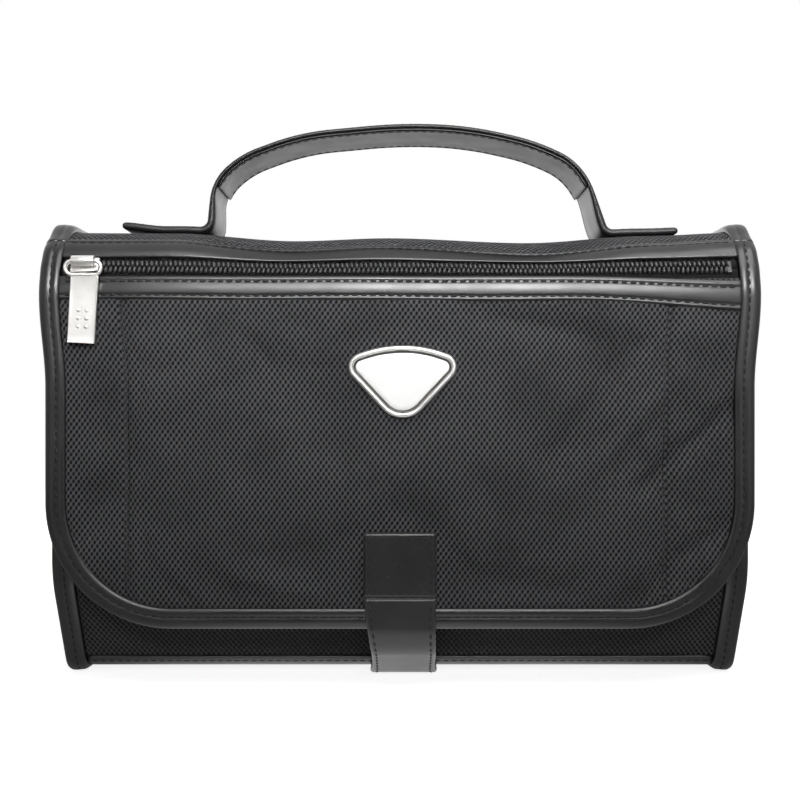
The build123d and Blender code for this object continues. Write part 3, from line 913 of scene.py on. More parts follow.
@dataclass
class Skin:
    """Outer face of the closed bag, read by place across and by length down from its crest.

    A positive length runs down the front flap, and a negative one back over the top, down the
    back and forward under the bottom.
    """

    shoulder: float = 28.0 * MM
    back_top: float = 26.0 * MM
    back_bottom: float = 16.0 * MM
    bottom_reach: float = -2.0 * MM
    hinge_angle: float = math.radians(36.0)
    zip_angle: float = math.radians(66.0)
    half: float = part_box("flap_binding")[1].x
    face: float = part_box("flap_panel")[0].y
    back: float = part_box("outer_shell")[1].y
    top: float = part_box("outer_shell")[1].z
    under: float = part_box("outer_shell")[0].z
    hem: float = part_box("flap_binding")[0].z
    flap_depth: float = 6.8 * MM
    wall: float = 5.2 * MM
    dents: tuple[float, ...] = (-1.3, -1.0, 3.3, 1.6, 4.4, 0.4, -1.4)
    dent_places: tuple[float, ...] = (-138.0, -92.0, -43.0, -5.0, 52.0, 100.0, 136.0)

    def __post_init__(self) -> None:
        """Works out the centre of the rounding and the path behind the crest."""
        self.middle = (self.face + self.shoulder, self.top - self.shoulder)
        self.quarter = self.shoulder * math.pi / 2
        self.hem_length = self.quarter + self.middle[1] - self.hem
        self.behind = Track(
            [
                (self.middle[0], self.top),
                (self.back, self.top),
                (self.back, self.under),
                (self.bottom_reach, self.under),
            ],
            [self.back_top, self.back_bottom],
        )

    def length_at(self, degrees: float) -> float:
        """Length from the crest to an angle on the rounding, in degrees from straight up."""
        return self.shoulder * math.radians(degrees)

    def dent(self, across: Array, down: Array) -> Array:
        """How far the soft top has sunk below its even shape."""
        knots = [place * MM for place in self.dent_places]
        sunk = eased(across, knots, [dent * MM for dent in self.dents])
        angle = np.degrees(down / self.shoulder)
        front = eased(angle, (0.0, 35.0, 48.0, 62.0, 76.0), (0.7, 0.95, 1.0, 0.45, 0.0))
        rear = eased(-down / MM, (0.0, 18.0, 44.0), (0.7, 0.5, 0.0))
        return sunk * np.where(down > 0.0, front, rear)

    def at(self, across: Array, down: Array, rise: Array | float = 0.0) -> Array:
        """Points on or above the face.

        Args:
            across: X of each point.
            down: length from the crest.
            rise: height above the face.

        Returns:
            The points, one row each.
        """
        across, down, rise = np.broadcast_arrays(across, down, rise)
        angle = np.clip(down / self.shoulder, 0.0, math.pi / 2)
        straight = np.maximum(down - self.quarter, 0.0)
        normal = np.stack([-np.sin(angle), np.cos(angle)], axis=-1)
        spot = np.array(self.middle) + self.shoulder * normal
        spot[..., 1] -= straight
        rear, heading = self.behind.at(-down)
        front = (down > 0.0)[..., None]
        normal = np.where(front, normal, np.stack([-heading[..., 1], heading[..., 0]], axis=-1))
        spot = np.where(front, spot, rear)
        spot = spot + normal * (rise - self.dent(across, down))[..., None]
        return puffed(np.stack([across, spot[..., 0], spot[..., 1]], axis=-1))

    def lift(self, across: Array, down: Array) -> Array:
        """Outward directions at points of the face."""
        step = 0.5 * MM
        along = self.at(across, down + step) - self.at(across, down - step)
        over = self.at(across + step, down) - self.at(across - step, down)
        return unit(np.cross(along, over))


@dataclass
class Wall:
    """The body's front wall, read by length up from under the bottom."""

    skin: Skin
    face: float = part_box("mouth_binding")[0].y + 0.8 * MM
    mouth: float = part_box("mouth_binding")[1].z - 0.8 * MM
    knee: float = 44.0 * MM
    knee_radius: float = 35.0 * MM
    toe: float = -8.0 * MM
    toe_radius: float = 9.0 * MM
    trim_top: float = 8.0 * MM

    def __post_init__(self) -> None:
        """Works out the wall's side view."""
        step = self.face - self.skin.face
        self.step = step
        self.track = Track(
            [
                (self.skin.bottom_reach, self.skin.under),
                (self.toe, self.skin.under),
                (self.face, self.knee),
                (self.face, self.skin.top - step),
                (self.skin.middle[0], self.skin.top - step),
            ],
            [self.toe_radius, self.knee_radius, self.skin.shoulder - step],
        )
        ray = self.skin.hinge_angle
        self.top_length = self.track.length - (self.skin.shoulder - step) * ray
        levels = np.linspace(0.0, self.track.length, 2000)
        heights = self.track.at(levels)[0][:, 1]
        self.mouth_length = float(np.interp(self.mouth, heights, levels))
        self.trim_length = float(np.interp(self.trim_top, heights, levels))

    def at(self, across: Array, up: Array, rise: Array | float = 0.0) -> Array:
        """Points on or in front of the wall."""
        across, up, rise = np.broadcast_arrays(across, up, rise)
        spot = self.track.beside(up, rise)
        return puffed(np.stack([across, spot[..., 0], spot[..., 1]], axis=-1))


def paired(name: str, outer: Piece, inner: Piece, outside: Material, inside: Material) -> Piece:
    """Closes two matching sheets into one pad.

    Args:
        name: the pad's name.
        outer: the sheet that faces out.
        inner: the sheet that faces in, with the same grid.
        outside: material of the outer sheet and the edge.
        inside: material of the inner sheet.

    Returns:
        The pad, as one closed mesh.
    """
    dress(outer, outside, inside)
    dress(inner, outside, inside)
    for face in inner.data.polygons:
        face.material_index = 1
    pad = joined(name, outer, inner)
    with editing(pad):
        bpy.ops.mesh.select_mode(type="EDGE")
        bpy.ops.mesh.select_all(action="DESELECT")
        bpy.ops.mesh.select_non_manifold()
        bpy.ops.mesh.bridge_edge_loops()
    bpy.ops.object.shade_smooth()
    return pad


@dataclass(frozen=True)
class Relaxing:
    """A short cloth simulation that gives a held panel its soft fullness and creases."""

    frames: int = 16
    spare: float = 0.012
    pressure: float = 0.6
    cap: float = 1.3 * MM

    def run(self, piece: Piece, held: Array, freedom: Array) -> None:
        """Lets the cloth settle between what holds it.

        Args:
            piece: a single sheet.
            held: for each point, whether it is sewn down.
            freedom: for each point, the share of the cap by which it may move.
        """
        before = read_points(piece)
        group = piece.vertex_groups.new(name="sewn")
        group.add([int(i) for i in np.flatnonzero(held)], 1.0, "REPLACE")
        cloth = piece.modifiers.new("cloth", "CLOTH")
        settings = cloth.settings
        settings.quality = 6
        settings.mass = 0.2
        settings.tension_stiffness = 25.0
        settings.compression_stiffness = 25.0
        settings.shear_stiffness = 12.0
        settings.bending_stiffness = 0.8
        settings.shrink_min = -self.spare
        settings.use_pressure = True
        settings.uniform_pressure_force = self.pressure
        settings.vertex_group_mass = "sewn"
        settings.effector_weights.gravity = 0.0
        cloth.collision_settings.use_self_collision = False
        cloth.point_cache.frame_start = 1
        cloth.point_cache.frame_end = self.frames + 1
        for number in range(1, self.frames + 1):
            bpy.context.scene.frame_set(number)
        apply_modifiers(piece)
        piece.vertex_groups.remove(piece.vertex_groups["sewn"])
        bpy.context.scene.frame_set(1)
        move = read_points(piece) - before
        size = np.linalg.norm(move, axis=1, keepdims=True)
        limit = self.cap * freedom[:, None]
        shorter = limit * np.tanh(size / np.maximum(limit, 1e-9)) / np.maximum(size, 1e-12)
        write_points(piece, before + move * shorter)


@dataclass(frozen=True)
class Creases:
    """Soft folds of the front panel, each a long dip from one place to another."""

    lines: tuple[tuple[float, float, float, float, float, float], ...] = (
        (62.0, 96.0, 92.0, 134.0, 7.0, 0.5),
        (80.0, 92.0, 106.0, 121.0, 5.0, -0.4),
        (100.0, 84.0, 126.0, 108.0, 6.0, 0.6),
        (34.0, 148.0, 78.0, 140.0, 6.0, 0.35),
        (-120.0, 70.0, -96.0, 100.0, 8.0, 0.35),
        (-60.0, 44.0, -20.0, 36.0, 8.0, -0.3),
        (96.0, 40.0, 124.0, 62.0, 7.0, 0.45),
    )
    strength: float = 4.2

    def depth(self, across: Array, level: Array) -> Array:
        """How far the panel lies behind its even face.

        Args:
            across: X of each point.
            level: height of each point.

        Returns:
            The depth, negative where the cloth stands forward.
        """
        total = np.zeros(np.shape(across))
        for x0, z0, x1, z1, wide, deep in self.lines:
            start, end = np.array((x0, z0)) * MM, np.array((x1, z1)) * MM
            way = end - start
            size = float(np.hypot(*way))
            along = ((across - start[0]) * way[0] + (level - start[1]) * way[1]) / size
            aside = ((across - start[0]) * -way[1] + (level - start[1]) * way[0]) / size
            over = np.maximum(np.maximum(-along, along - size), 0.0)
            reach = 0.85 * wide * MM
            away = (aside / reach) ** 2 + (over / (2 * reach)) ** 2
            total = total + self.strength * deep * MM * np.exp(-away)
        return total


@dataclass
class Part:
    """A sub-assembly that lies on the bag's skin."""

    skin: Skin
    finishes: Finishes

    def sew(
        self, name: str, rows: Rows, body: Body, slot: str = "leather", thread: Thread = Thread()
    ) -> None:
        """Adds stitches and fixes them to a body.

        Args:
            name: the stitches' name.
            rows: their rows, with outward directions.
            body: the body they move with.
            slot: the record's material slot.
            thread: the thread and its stitch.
        """
        join_bag(dress(thread.rows(name, rows), self.finishes.thread), body, slot)


@dataclass
class PaddedPanel(Part):
    """A woven face and the lining behind it, closed into one pad."""

    columns: int = 120
    rows: int = 100

    def spread(self, across: Array, along: Array) -> tuple[Array, Array]:
        """Places across and along the bag for two shares."""
        raise NotImplementedError

    def rise(self, across: Array, down: Array) -> Array:
        """Height of the woven face above the even skin."""
        raise NotImplementedError

    def lined(self, across: Array, along: Array) -> Array:
        """Points of the lining."""
        raise NotImplementedError

    def face(self, across: Array, along: Array) -> Array:
        """Points of the woven face."""
        wide, down = self.spread(across, along)
        return self.skin.at(wide, down, self.rise(wide, down))

    def cloth(self, across: Array, along: Array) -> Array:
        """Flat places of the points."""
        return np.stack(self.spread(across, along), axis=-1)

    def relax(self, outer: Piece) -> None:
        """Leaves the woven face as it is modelled."""

    def build(self, name: str) -> Piece:
        """Models both sheets, lets the face relax and closes the pad.

        Args:
            name: the pad's name.

        Returns:
            The pad.
        """
        outer = mapped_grid(name, self.columns, self.rows, self.face, self.cloth)
        inner = mapped_grid(f"{name}_lining", self.columns, self.rows, self.lined, self.cloth)
        self.relax(outer)
        return paired(name, outer, inner, self.finishes.cloth, self.finishes.lining)


@dataclass
class FlapPad(PaddedPanel):
    """The flap's padded panel: woven face, foam and lining, with its pocket inside."""

    corner: float = 50.0 * MM
    tuck: float = 3.0 * MM
    binding: float = 8.4 * MM
    slot: float = 2.4 * MM
    seams: tuple[float, float] = (-107.4 * MM, 104.7 * MM)
    seam_gap: float = 0.8 * MM
    columns: int = 200
    rows: int = 96
    creases: Creases = Creases()

    def half_at(self, down: Array) -> Array:
        """Half of the panel's width at a length from the crest."""
        inner = self.corner - self.tuck
        below = np.clip(down - (self.skin.hem_length - self.corner), 0.0, inner)
        return self.skin.half - self.corner + np.sqrt(inner**2 - below**2)

    def spread(self, across: Array, along: Array) -> tuple[Array, Array]:
        """Places across and down for two shares."""
        start = self.skin.length_at(36.6)
        down = start + along * (self.skin.hem_length - self.tuck - start)
        return (2 * across - 1) * self.half_at(down), down

    def rise(self, across: Array, down: Array) -> Array:
        """Height of the woven face above the even skin."""
        low, high = self.skin.length_at(72.4), self.skin.length_at(74.4)
        under_zip = -self.slot * (1.0 - smooth(down, low, high))
        level = self.skin.middle[1] + self.skin.quarter - down
        edge = np.minimum(self.half_at(down) - np.abs(across), self.skin.hem_length - self.tuck - down)
        fullness = 0.55 * MM * smooth(edge, 3.5 * MM, 8.0 * MM)
        fullness = fullness + 0.6 * MM * smooth(edge, 8.0 * MM, 26.0 * MM) - 0.45 * MM
        fullness = fullness * smooth(down, high, high + 14.0 * MM)
        for seam in self.seams:
            fullness = fullness - 1.1 * MM * np.exp(-(((across - seam) / (1.9 * MM)) ** 2)) * (down > high)
        quiet = self.calm(across, level)
        return under_zip + (fullness - self.creases.depth(across, level)) * quiet

    def calm(self, across: Array, level: Array) -> Array:
        """Share of the folds that is left beside the badge and the strap."""
        badge = np.hypot(across / (30 * MM), (level - 122.2 * MM) / (24 * MM))
        strap = np.hypot(across / (24 * MM), (level - 48.0 * MM) / (26 * MM))
        return smooth(badge, 0.75, 1.25) * smooth(strap, 0.75, 1.25)

    def lined(self, across: Array, along: Array) -> Array:
        """Points of the lining behind the face, with faint ripples."""
        wide, down = self.spread(across, along)
        ripple = 0.35 * MM * np.sin(wide / (19 * MM) + down / (31 * MM)) * np.sin(down / (23 * MM))
        depth = self.skin.flap_depth - 0.4 * MM - np.abs(ripple)
        return self.skin.at(wide, down, -depth + self.skin.dent(wide, down) * 0.6)

    def relax(self, outer: Piece) -> None:
        """Lets the face relax between its bindings and pocket seams."""
        rest = read_points(outer)
        level, wide = rest[:, 2], rest[:, 0]
        edge = np.minimum(self.skin.half - np.abs(wide), level - self.skin.hem)
        top = self.skin.top - level
        free = smooth(edge, self.binding, self.binding + 12 * MM) * smooth(top, 33 * MM, 46 * MM)
        free = free * self.calm(wide, level)
        for seam in self.seams:
            free = free * smooth(np.abs(wide - seam), 2.0 * MM, 7.0 * MM)
        Relaxing().run(outer, free < 0.02, np.maximum(free, 0.0))

    def seam_rows(self) -> Rows:
        """Paths of the upright pocket seams, with their outward directions."""
        rows = []
        down = np.linspace(self.skin.length_at(94.0), self.skin.hem_length - self.binding, 90)
        for seam in self.seams:
            for side in (-1, 1):
                wide = seam + side * self.seam_gap
                rows.append((self.skin.at(wide, down, self.rise(wide, down)), self.skin.lift(wide, down)))
        return rows

    def finish(self) -> None:
        """Makes the pad and its seams, and fixes them to the flap."""
        pad = self.build("flap_pad")
        join_bag(pad, Body.FLAP, "woven_fabric", "flap_panel", "flap_foam", "flap_lining", "pocket_bag")
        sewing = Thread(pitch=2.9 * MM, length=2.2 * MM, width=1.0 * MM, height=0.5 * MM)
        self.sew("pocket_seams", self.seam_rows(), Body.FLAP, "woven_fabric", sewing)


@dataclass
class BodyCover(PaddedPanel):
    """Top, back and bottom of the body as one padded panel that folds over into the flap."""

    margin: float = 2.6 * MM
    columns: int = 120
    rows: int = 150

    def spread(self, across: Array, along: Array) -> tuple[Array, Array]:
        """Places across and down for two shares, from the zipper back to under the bottom."""
        start = self.skin.length_at(OPENING)
        down = start - along * (start + self.skin.behind.length)
        return (2 * across - 1) * (self.skin.half - self.margin), down

    def rise(self, across: Array, down: Array) -> Array:
        """Height of the cloth above the even skin: fullness and slow waves on the back."""
        edge = self.skin.half - np.abs(across)
        rear = smooth(-down, 30 * MM, 60 * MM) * smooth(down + self.skin.behind.length, 20 * MM, 50 * MM)
        full = 0.9 * MM * smooth(edge, 8 * MM, 30 * MM) * rear
        wave = np.sin(across / (37 * MM) + 0.8) * np.sin(down / (29 * MM) + across / (60 * MM))
        return full + 0.35 * MM * wave * smooth(edge, 10 * MM, 40 * MM) * rear - 0.05 * MM

    def lined(self, across: Array, along: Array) -> Array:
        """Points of the lining, far in on the body and close up where the cover joins the flap."""
        wide, down = self.spread(across, along)
        thin = smooth(down, self.skin.length_at(27.0), self.skin.length_at(37.0))
        depth = self.skin.wall * (1.0 - thin) + 1.2 * MM * thin
        return self.skin.at(wide, down, self.rise(wide, down) - depth)

    def relax(self, outer: Piece) -> None:
        """Lets the back relax between its edges."""
        rest = read_points(outer)
        edge = self.skin.half - np.abs(rest[:, 0])
        rear = smooth(rest[:, 1], 20 * MM, 32 * MM)
        level = smooth(rest[:, 2], 14 * MM, 40 * MM) * (1 - smooth(rest[:, 2], 150 * MM, 176 * MM))
        free = smooth(edge, 9 * MM, 20 * MM) * rear * level
        Relaxing(spare=0.01, pressure=0.3, cap=1.0 * MM).run(outer, free < 0.02, free)

    def finish(self) -> None:
        """Makes the cover, bakes it in place and hides the solids that it replaces."""
        replaced = ("outer_shell", "body_foam", "lining", "flap_crown")
        cover = join_bag(self.build("body_cover"), CREST_BEND, "woven_fabric", *replaced)


@dataclass(kw_only=True)
class FrontWall(PaddedPanel):
    """The body's padded front wall behind the flap, with its bound mouth edge and lower trim."""

    wall: Wall
    margin: float = 2.6 * MM
    columns: int = 110
    rows: int = 60

    def spread(self, across: Array, along: Array) -> tuple[Array, Array]:
        """Places across and up for two shares."""
        return (2 * across - 1) * (self.skin.half - self.margin), along * self.wall.mouth_length

    def face(self, across: Array, along: Array) -> Array:
        """Points of the woven face, which sinks a little between the bindings."""
        wide, up = self.spread(across, along)
        edge = self.skin.half - np.abs(wide)
        sunk = 0.5 * MM * smooth(edge, 8 * MM, 30 * MM) * np.sin(np.pi * along) ** 2
        return self.wall.at(wide, up, -sunk)

    def lined(self, across: Array, along: Array) -> Array:
        """Points of the lining inside."""
        return self.wall.at(*self.spread(across, along), -self.skin.wall)

    def mouth_binding(self) -> Piece:
        """Folded leather over the mouth's edge."""
        reach = self.skin.half - 8.9 * MM
        thick, tall, proud = self.skin.wall, 7.0 * MM, 0.8 * MM
        section = [(-proud, -tall), (-proud, -0.6 * tall), (-proud, -0.1 * tall), (-0.4 * MM, 0.45 * MM)]
        section += [(0.8 * MM, proud), (thick / 2, proud), (thick - 0.8 * MM, proud)]
        section += [(thick + 0.4 * MM, 0.45 * MM), (thick + proud, -0.1 * tall)]
        section += [(thick + proud, -0.6 * tall), (thick + proud, -tall), (thick, -tall), (0.0, -tall)]

        def carry(back: Array, up: Array, share: Array) -> Array:
            """Carries the section along the mouth."""
            across = (2 * share - 1) * reach
            return np.stack([across, self.wall.face + back, self.wall.mouth + up], axis=-1)

        return swept("mouth_edge", section, 90, carry)

    def lower_trim(self) -> Piece:
        """Leather strip along the bottom's front edge."""
        reach = self.skin.half - 8.8 * MM
        section = strip_section(self.wall.trim_length, 1.2 * MM, 0.2 * MM, 1.0 * MM)
        steps = np.linspace(0.0, self.wall.trim_length, 14)[1:-1]
        face = sorted([*section[:-3], *((float(step), 1.2 * MM) for step in steps)])
        under = [(float(step), -0.2 * MM) for step in np.linspace(self.wall.trim_length, 0.0, 10)]

        def carry(up: Array, rise: Array, share: Array) -> Array:
            """Carries the section along the bottom edge."""
            return self.wall.at((2 * share - 1) * reach, up, rise)

        return swept("bottom_trim_strip", [*face, *under], 90, carry)

    def finish(self) -> None:
        """Makes the wall and its edges, and fixes them to the body."""
        wall = self.build("front_wall")
        join_bag(wall, Body.ROOT, "woven_fabric", "outer_shell", "body_foam", "lining")
        leather = self.finishes.leather
        join_bag(dress(self.mouth_binding(), leather), Body.ROOT, "leather", "mouth_binding")
        join_bag(dress(self.lower_trim(), leather), Body.ROOT, "leather", "bottom_trim")
        across = np.linspace(-1.0, 1.0, 120) * (self.skin.half - 10 * MM)
        rows = [raised(self.wall.at, across, self.wall.trim_length - 2.2 * MM, 1.15 * MM, 2 * MM)]
        level = self.wall.mouth - 4.6 * MM
        front, back = self.wall.face - 0.75 * MM, self.wall.face + self.skin.wall + 0.75 * MM
        for place, out in ((front, -1.0), (back, 1.0)):
            path = np.stack([across, np.full(across.shape, place), np.full(across.shape, level)], axis=-1)
            rows.append((path, np.tile((0.0, out, 0.0), (len(across), 1))))
        self.sew("wall_stitches", rows, Body.ROOT)


@dataclass
class Gusset(Part):
    """A side panel of the body."""

    wall: Wall
    side: Side
    heart: tuple[float, float] = (20.0 * MM, 122.0 * MM)
    inset: float = 1.2 * MM
    thick: float = 2.6 * MM
    around: int = 150
    rings: int = 22

    def outline(self) -> Array:
        """The panel's edge in the side view, evenly spaced and closed."""
        up = np.linspace(0.0, self.wall.top_length, 200)
        front = self.wall.at(0.0, up, 0.0)[:, 1:]
        ray = np.degrees(self.skin.hinge_angle)
        down = np.linspace(self.skin.length_at(ray), -self.skin.behind.length, 300)
        rear = self.skin.at(self.skin.half, down, 0.0)[:, 1:]
        loop = np.concatenate([front, rear, front[:1]])
        length = walked(loop)
        return read_along(loop, length, np.linspace(0.0, length[-1], self.around + 1))

    def sheet(self, name: str, depth: float, sunk: float) -> Piece:
        """One face of the panel.

        Args:
            name: the sheet's name.
            depth: how far inside the bag's side it lies.
            sunk: how far its middle sinks in.

        Returns:
            The sheet.
        """
        loop = self.outline()
        heart = np.array(self.heart)

        def view(across: Array, along: Array) -> Array:
            """Side view of each point."""
            edge = loop[np.rint(across * self.around).astype(int) % self.around]
            return heart + (edge - heart) * along[:, None]

        def place(across: Array, along: Array) -> Array:
            """Points of the sheet."""
            flat = view(across, along)
            hollow = sunk * (1.0 - smooth(along, 0.35, 1.0))
            wave = 0.35 * MM * np.sin(flat[:, 1] / (13 * MM)) * (1.0 - along) * along * 4
            reach = self.skin.half - depth - hollow + wave
            return puffed(np.stack([self.side.value * reach, flat[:, 0], flat[:, 1]], axis=-1))

        return mapped_grid(name, self.around, self.rings, place, view, ring=True)

    def finish(self) -> None:
        """Makes the panel and fixes it to the body."""
        name = f"gusset_panel_{self.side.word}"
        outer = self.sheet(name, self.inset, 0.8 * MM)
        inner = self.sheet(f"{name}_lining", self.inset + self.thick, 0.8 * MM)
        panel = paired(name, outer, inner, self.finishes.cloth, self.finishes.lining)
        join_bag(panel, Body.ROOT, "woven_fabric", f"gusset_{self.side.word}")


@dataclass
class Bindings(Part):
    """Folded leather over the edges of the flap and of the body's sides."""

    wall: Wall
    corner: float = 50.0 * MM
    row: float = 5.0 * MM
    flap_ring: Ring = (
        (8.4, -0.4), (8.4, 0.45), (7.9, 0.95), (6.4, 1.02), (5.5, 0.98), (5.0, 0.72), (4.5, 0.98),
        (3.0, 1.05), (1.4, 0.8), (0.45, 0.1), (0.0, -1.3), (0.0, -3.4), (0.1, -5.2), (0.7, -6.4),
        (2.0, -6.8), (5.0, -6.8), (8.0, -6.8), (8.4, -6.5), (8.4, -6.0),
    )
    side_ring: Ring = (
        (8.4, -0.3), (8.4, 0.9), (8.0, 2.0), (6.6, 2.9), (5.5, 3.2), (5.0, 2.95), (4.5, 3.25),
        (3.0, 3.4), (1.4, 3.3), (0.45, 2.8), (0.0, 1.6), (0.0, -1.0), (0.0, -3.2), (0.12, -4.5),
        (0.6, -5.0), (1.2, -4.9), (1.2, -4.0), (1.2, -2.0), (1.2, -0.3),
    )

    def along_hem(self, inward: Array, rise: Array, share: Array) -> Array:
        """Points beside the flap's edge, from one top end round to the other."""
        half, low, start = self.skin.half, self.skin.hem_length, self.skin.length_at(37.4)
        track = Track([(-half, start), (-half, low), (half, low), (half, start)], [self.corner] * 2)
        flat = track.beside(share * track.length, -inward)
        end = smooth(np.minimum(share, 1.0 - share) * track.length, 0.0, 9.0 * MM)
        return self.skin.at(flat[..., 0], flat[..., 1], np.where(rise < 0, rise * (0.62 + 0.38 * end), rise))

    def hem(self) -> Piece:
        """The flap's binding."""
        return swept("flap_edge", np.array(self.flap_ring) * MM, 330, self.along_hem)

    def hem_rows(self) -> Rows:
        """Stitch rows of the flap's binding, on its face and behind it."""
        share = np.linspace(0.004, 0.996, 900)
        rows = []
        for low, high in ((0.85 * MM, 2.0 * MM), (-6.85 * MM, -8.0 * MM)):
            inward = np.full(share.shape, self.row)
            path = self.along_hem(inward, np.full(share.shape, low), share)
            out = self.along_hem(inward, np.full(share.shape, high), share)
            rows.append((path, unit(out - path)))
        return rows

    def rear(self, side: Side) -> Piece:
        """The body's binding from the hinge over the top, down the back and under the bottom."""
        start, end = self.skin.length_at(41.0), -self.skin.behind.length
        shallow = np.array([(a, max(h, -2.2)) for a, h in self.flap_ring]) * MM
        deep = np.array(self.side_ring) * MM
        count = len(deep)

        def place(across: Array, along: Array) -> Array:
            """Carries the changing section along the side."""
            index = np.rint(across * count).astype(int) % count
            down = start + (end - start) * along
            body = 1.0 - smooth(down, self.skin.length_at(14.0), self.skin.length_at(34.0))
            corner = shallow[index] * (1 - body[:, None]) + deep[index] * body[:, None]
            rise = corner[:, 1] + 0.08 * MM * (1 - body)
            return self.skin.at(side.value * (self.skin.half - corner[:, 0]), down, rise)

        return mapped_grid(f"side_binding_{side.word}", count, 190, place, ring=True, capped=True)

    def front(self, side: Side) -> Piece:
        """The body's binding from under the bottom up the front wall to the hinge."""

        def carry(inward: Array, rise: Array, share: Array) -> Array:
            """Carries the section up the wall."""
            across = side.value * (self.skin.half - inward)
            return self.wall.at(across, share * self.wall.top_length, rise)

        return swept(f"wall_binding_{side.word}", np.array(self.side_ring) * MM, 110, carry)

    def side_rows(self, at: Carry, along: Array, level: float) -> Rows:
        """Stitch rows of both side bindings, on their faces and on the bag's sides.

        Args:
            at: the surface that the bindings follow.
            along: the rows' places along it.
            level: height of the rows on the faces.

        Returns:
            The rows with their outward directions.
        """
        rows = []
        for side in Side:
            across = side.value * (self.skin.half - self.row)
            rows.append(raised(at, across, along, level, 5 * MM))
            across = side.value * (self.skin.half + 0.02 * MM)
            rows.append((at(across, along, -2.6 * MM), np.tile((side.value, 0.0, 0.0), (len(along), 1))))
        return rows

    def finish(self) -> None:
        """Makes all the bindings with their stitches."""
        leather = self.finishes.leather
        join_bag(dress(self.hem(), leather), Body.FLAP, "leather", "flap_binding")
        self.sew("flap_edge_stitches", self.hem_rows(), Body.FLAP)
        for side in Side:
            replaced = f"body_binding_{side.word}"
            join_bag(dress(self.rear(side), leather), CREST_BEND, "leather", replaced)
            join_bag(dress(self.front(side), leather), Body.ROOT, "leather", replaced)
        up = np.linspace(4 * MM, self.wall.top_length - 2 * MM, 240)
        down = np.linspace(self.skin.length_at(8.0), -self.skin.behind.length + 3 * MM, 600)
        rows = self.side_rows(self.wall.at, up, 3.05 * MM) + self.side_rows(self.skin.at, down, 3.0 * MM)
        self.sew("body_edge_stitches", rows, Body.ROOT)


@dataclass
class Trims(Part):
    """Leather strips above and below the zipper."""

    rise: float = 1.0 * MM
    reach: float = 132.0 * MM
    low_end: float = 154.3 * MM
    upper_rows: tuple[float, ...] = (2.4 * MM,)
    lower_rows: tuple[float, ...] = (2.4 * MM, 7.9 * MM)

    def __post_init__(self) -> None:
        """Works out where each strip starts below the crest, and its width."""
        edge = self.skin.length_at(37.2)
        self.upper = (edge, self.skin.length_at(OPENING) - edge)
        edge = self.skin.length_at(73.6)
        self.lower = (edge, self.skin.quarter + self.skin.middle[1] - self.low_end - edge)

    def upper_path(self, across: Array, inward: Array, rise: Array) -> Array:
        """Points of the upper strip from X, distance below its upper edge and height."""
        edge, width = self.upper
        sewn = 1.6 * MM * np.exp(-(((across / MM - 55.0) / 30.0) ** 2))
        down = edge + sewn + inward * (1.0 - sewn / width)
        return self.skin.at(across, down, rise)

    def lower_path(self, across: Array, inward: Array, rise: Array) -> Array:
        """Points of the lower strip, which widens towards the right."""
        edge, width = self.lower
        flare = 2.6 * MM * smooth(across, 58 * MM, 140 * MM)
        droop = 1.9 * MM * smooth(across, 66 * MM, 140 * MM)
        wander = 0.45 * MM * np.sin(across / (23 * MM)) * np.sin(across / (61 * MM) + 0.6)
        down = edge + droop + inward * (1.0 + (flare + wander) / width)
        return self.skin.at(across, down, rise)

    def strip(self, name: str, width: float, rows: tuple[float, ...], path: Callable) -> None:
        """Makes one strip with its stitches.

        Args:
            name: the strip's name.
            width: distance between its edges.
            rows: distances of its stitch rows from the upper edge.
            path: gives its points.
        """
        section = strip_section(width, self.rise, 1.0 * MM, 0.9 * MM, rows)
        inner = [(width * share, -1.0 * MM) for share in (0.8, 0.6, 0.4, 0.2)]
        section = [*section[:-2], *inner, section[-1]]

        def carry(inward: Array, rise: Array, share: Array) -> Array:
            """Carries the section from left to right."""
            across = (2 * share - 1) * self.reach
            wave = 0.12 * MM * np.sin(across / (11 * MM) + width / MM) * (rise > 0)
            return path(across, inward, rise + wave)

        piece = dress(swept(f"{name}_strip", section, 260, carry), self.finishes.leather)
        join_bag(piece, Body.FLAP, "leather", name)
        across = np.linspace(-self.reach + 2 * MM, self.reach - 2 * MM, 400)
        level = self.rise - 0.1 * MM
        paths = [raised(path, across, row, level, self.rise + 1.0 * MM) for row in rows]
        self.sew(f"{name}_stitches", paths, Body.FLAP)

    def finish(self) -> None:
        """Makes both strips."""
        self.strip("upper_trim", self.upper[1], self.upper_rows, self.upper_path)
        self.strip("lower_trim", self.lower[1], self.lower_rows, self.lower_path)


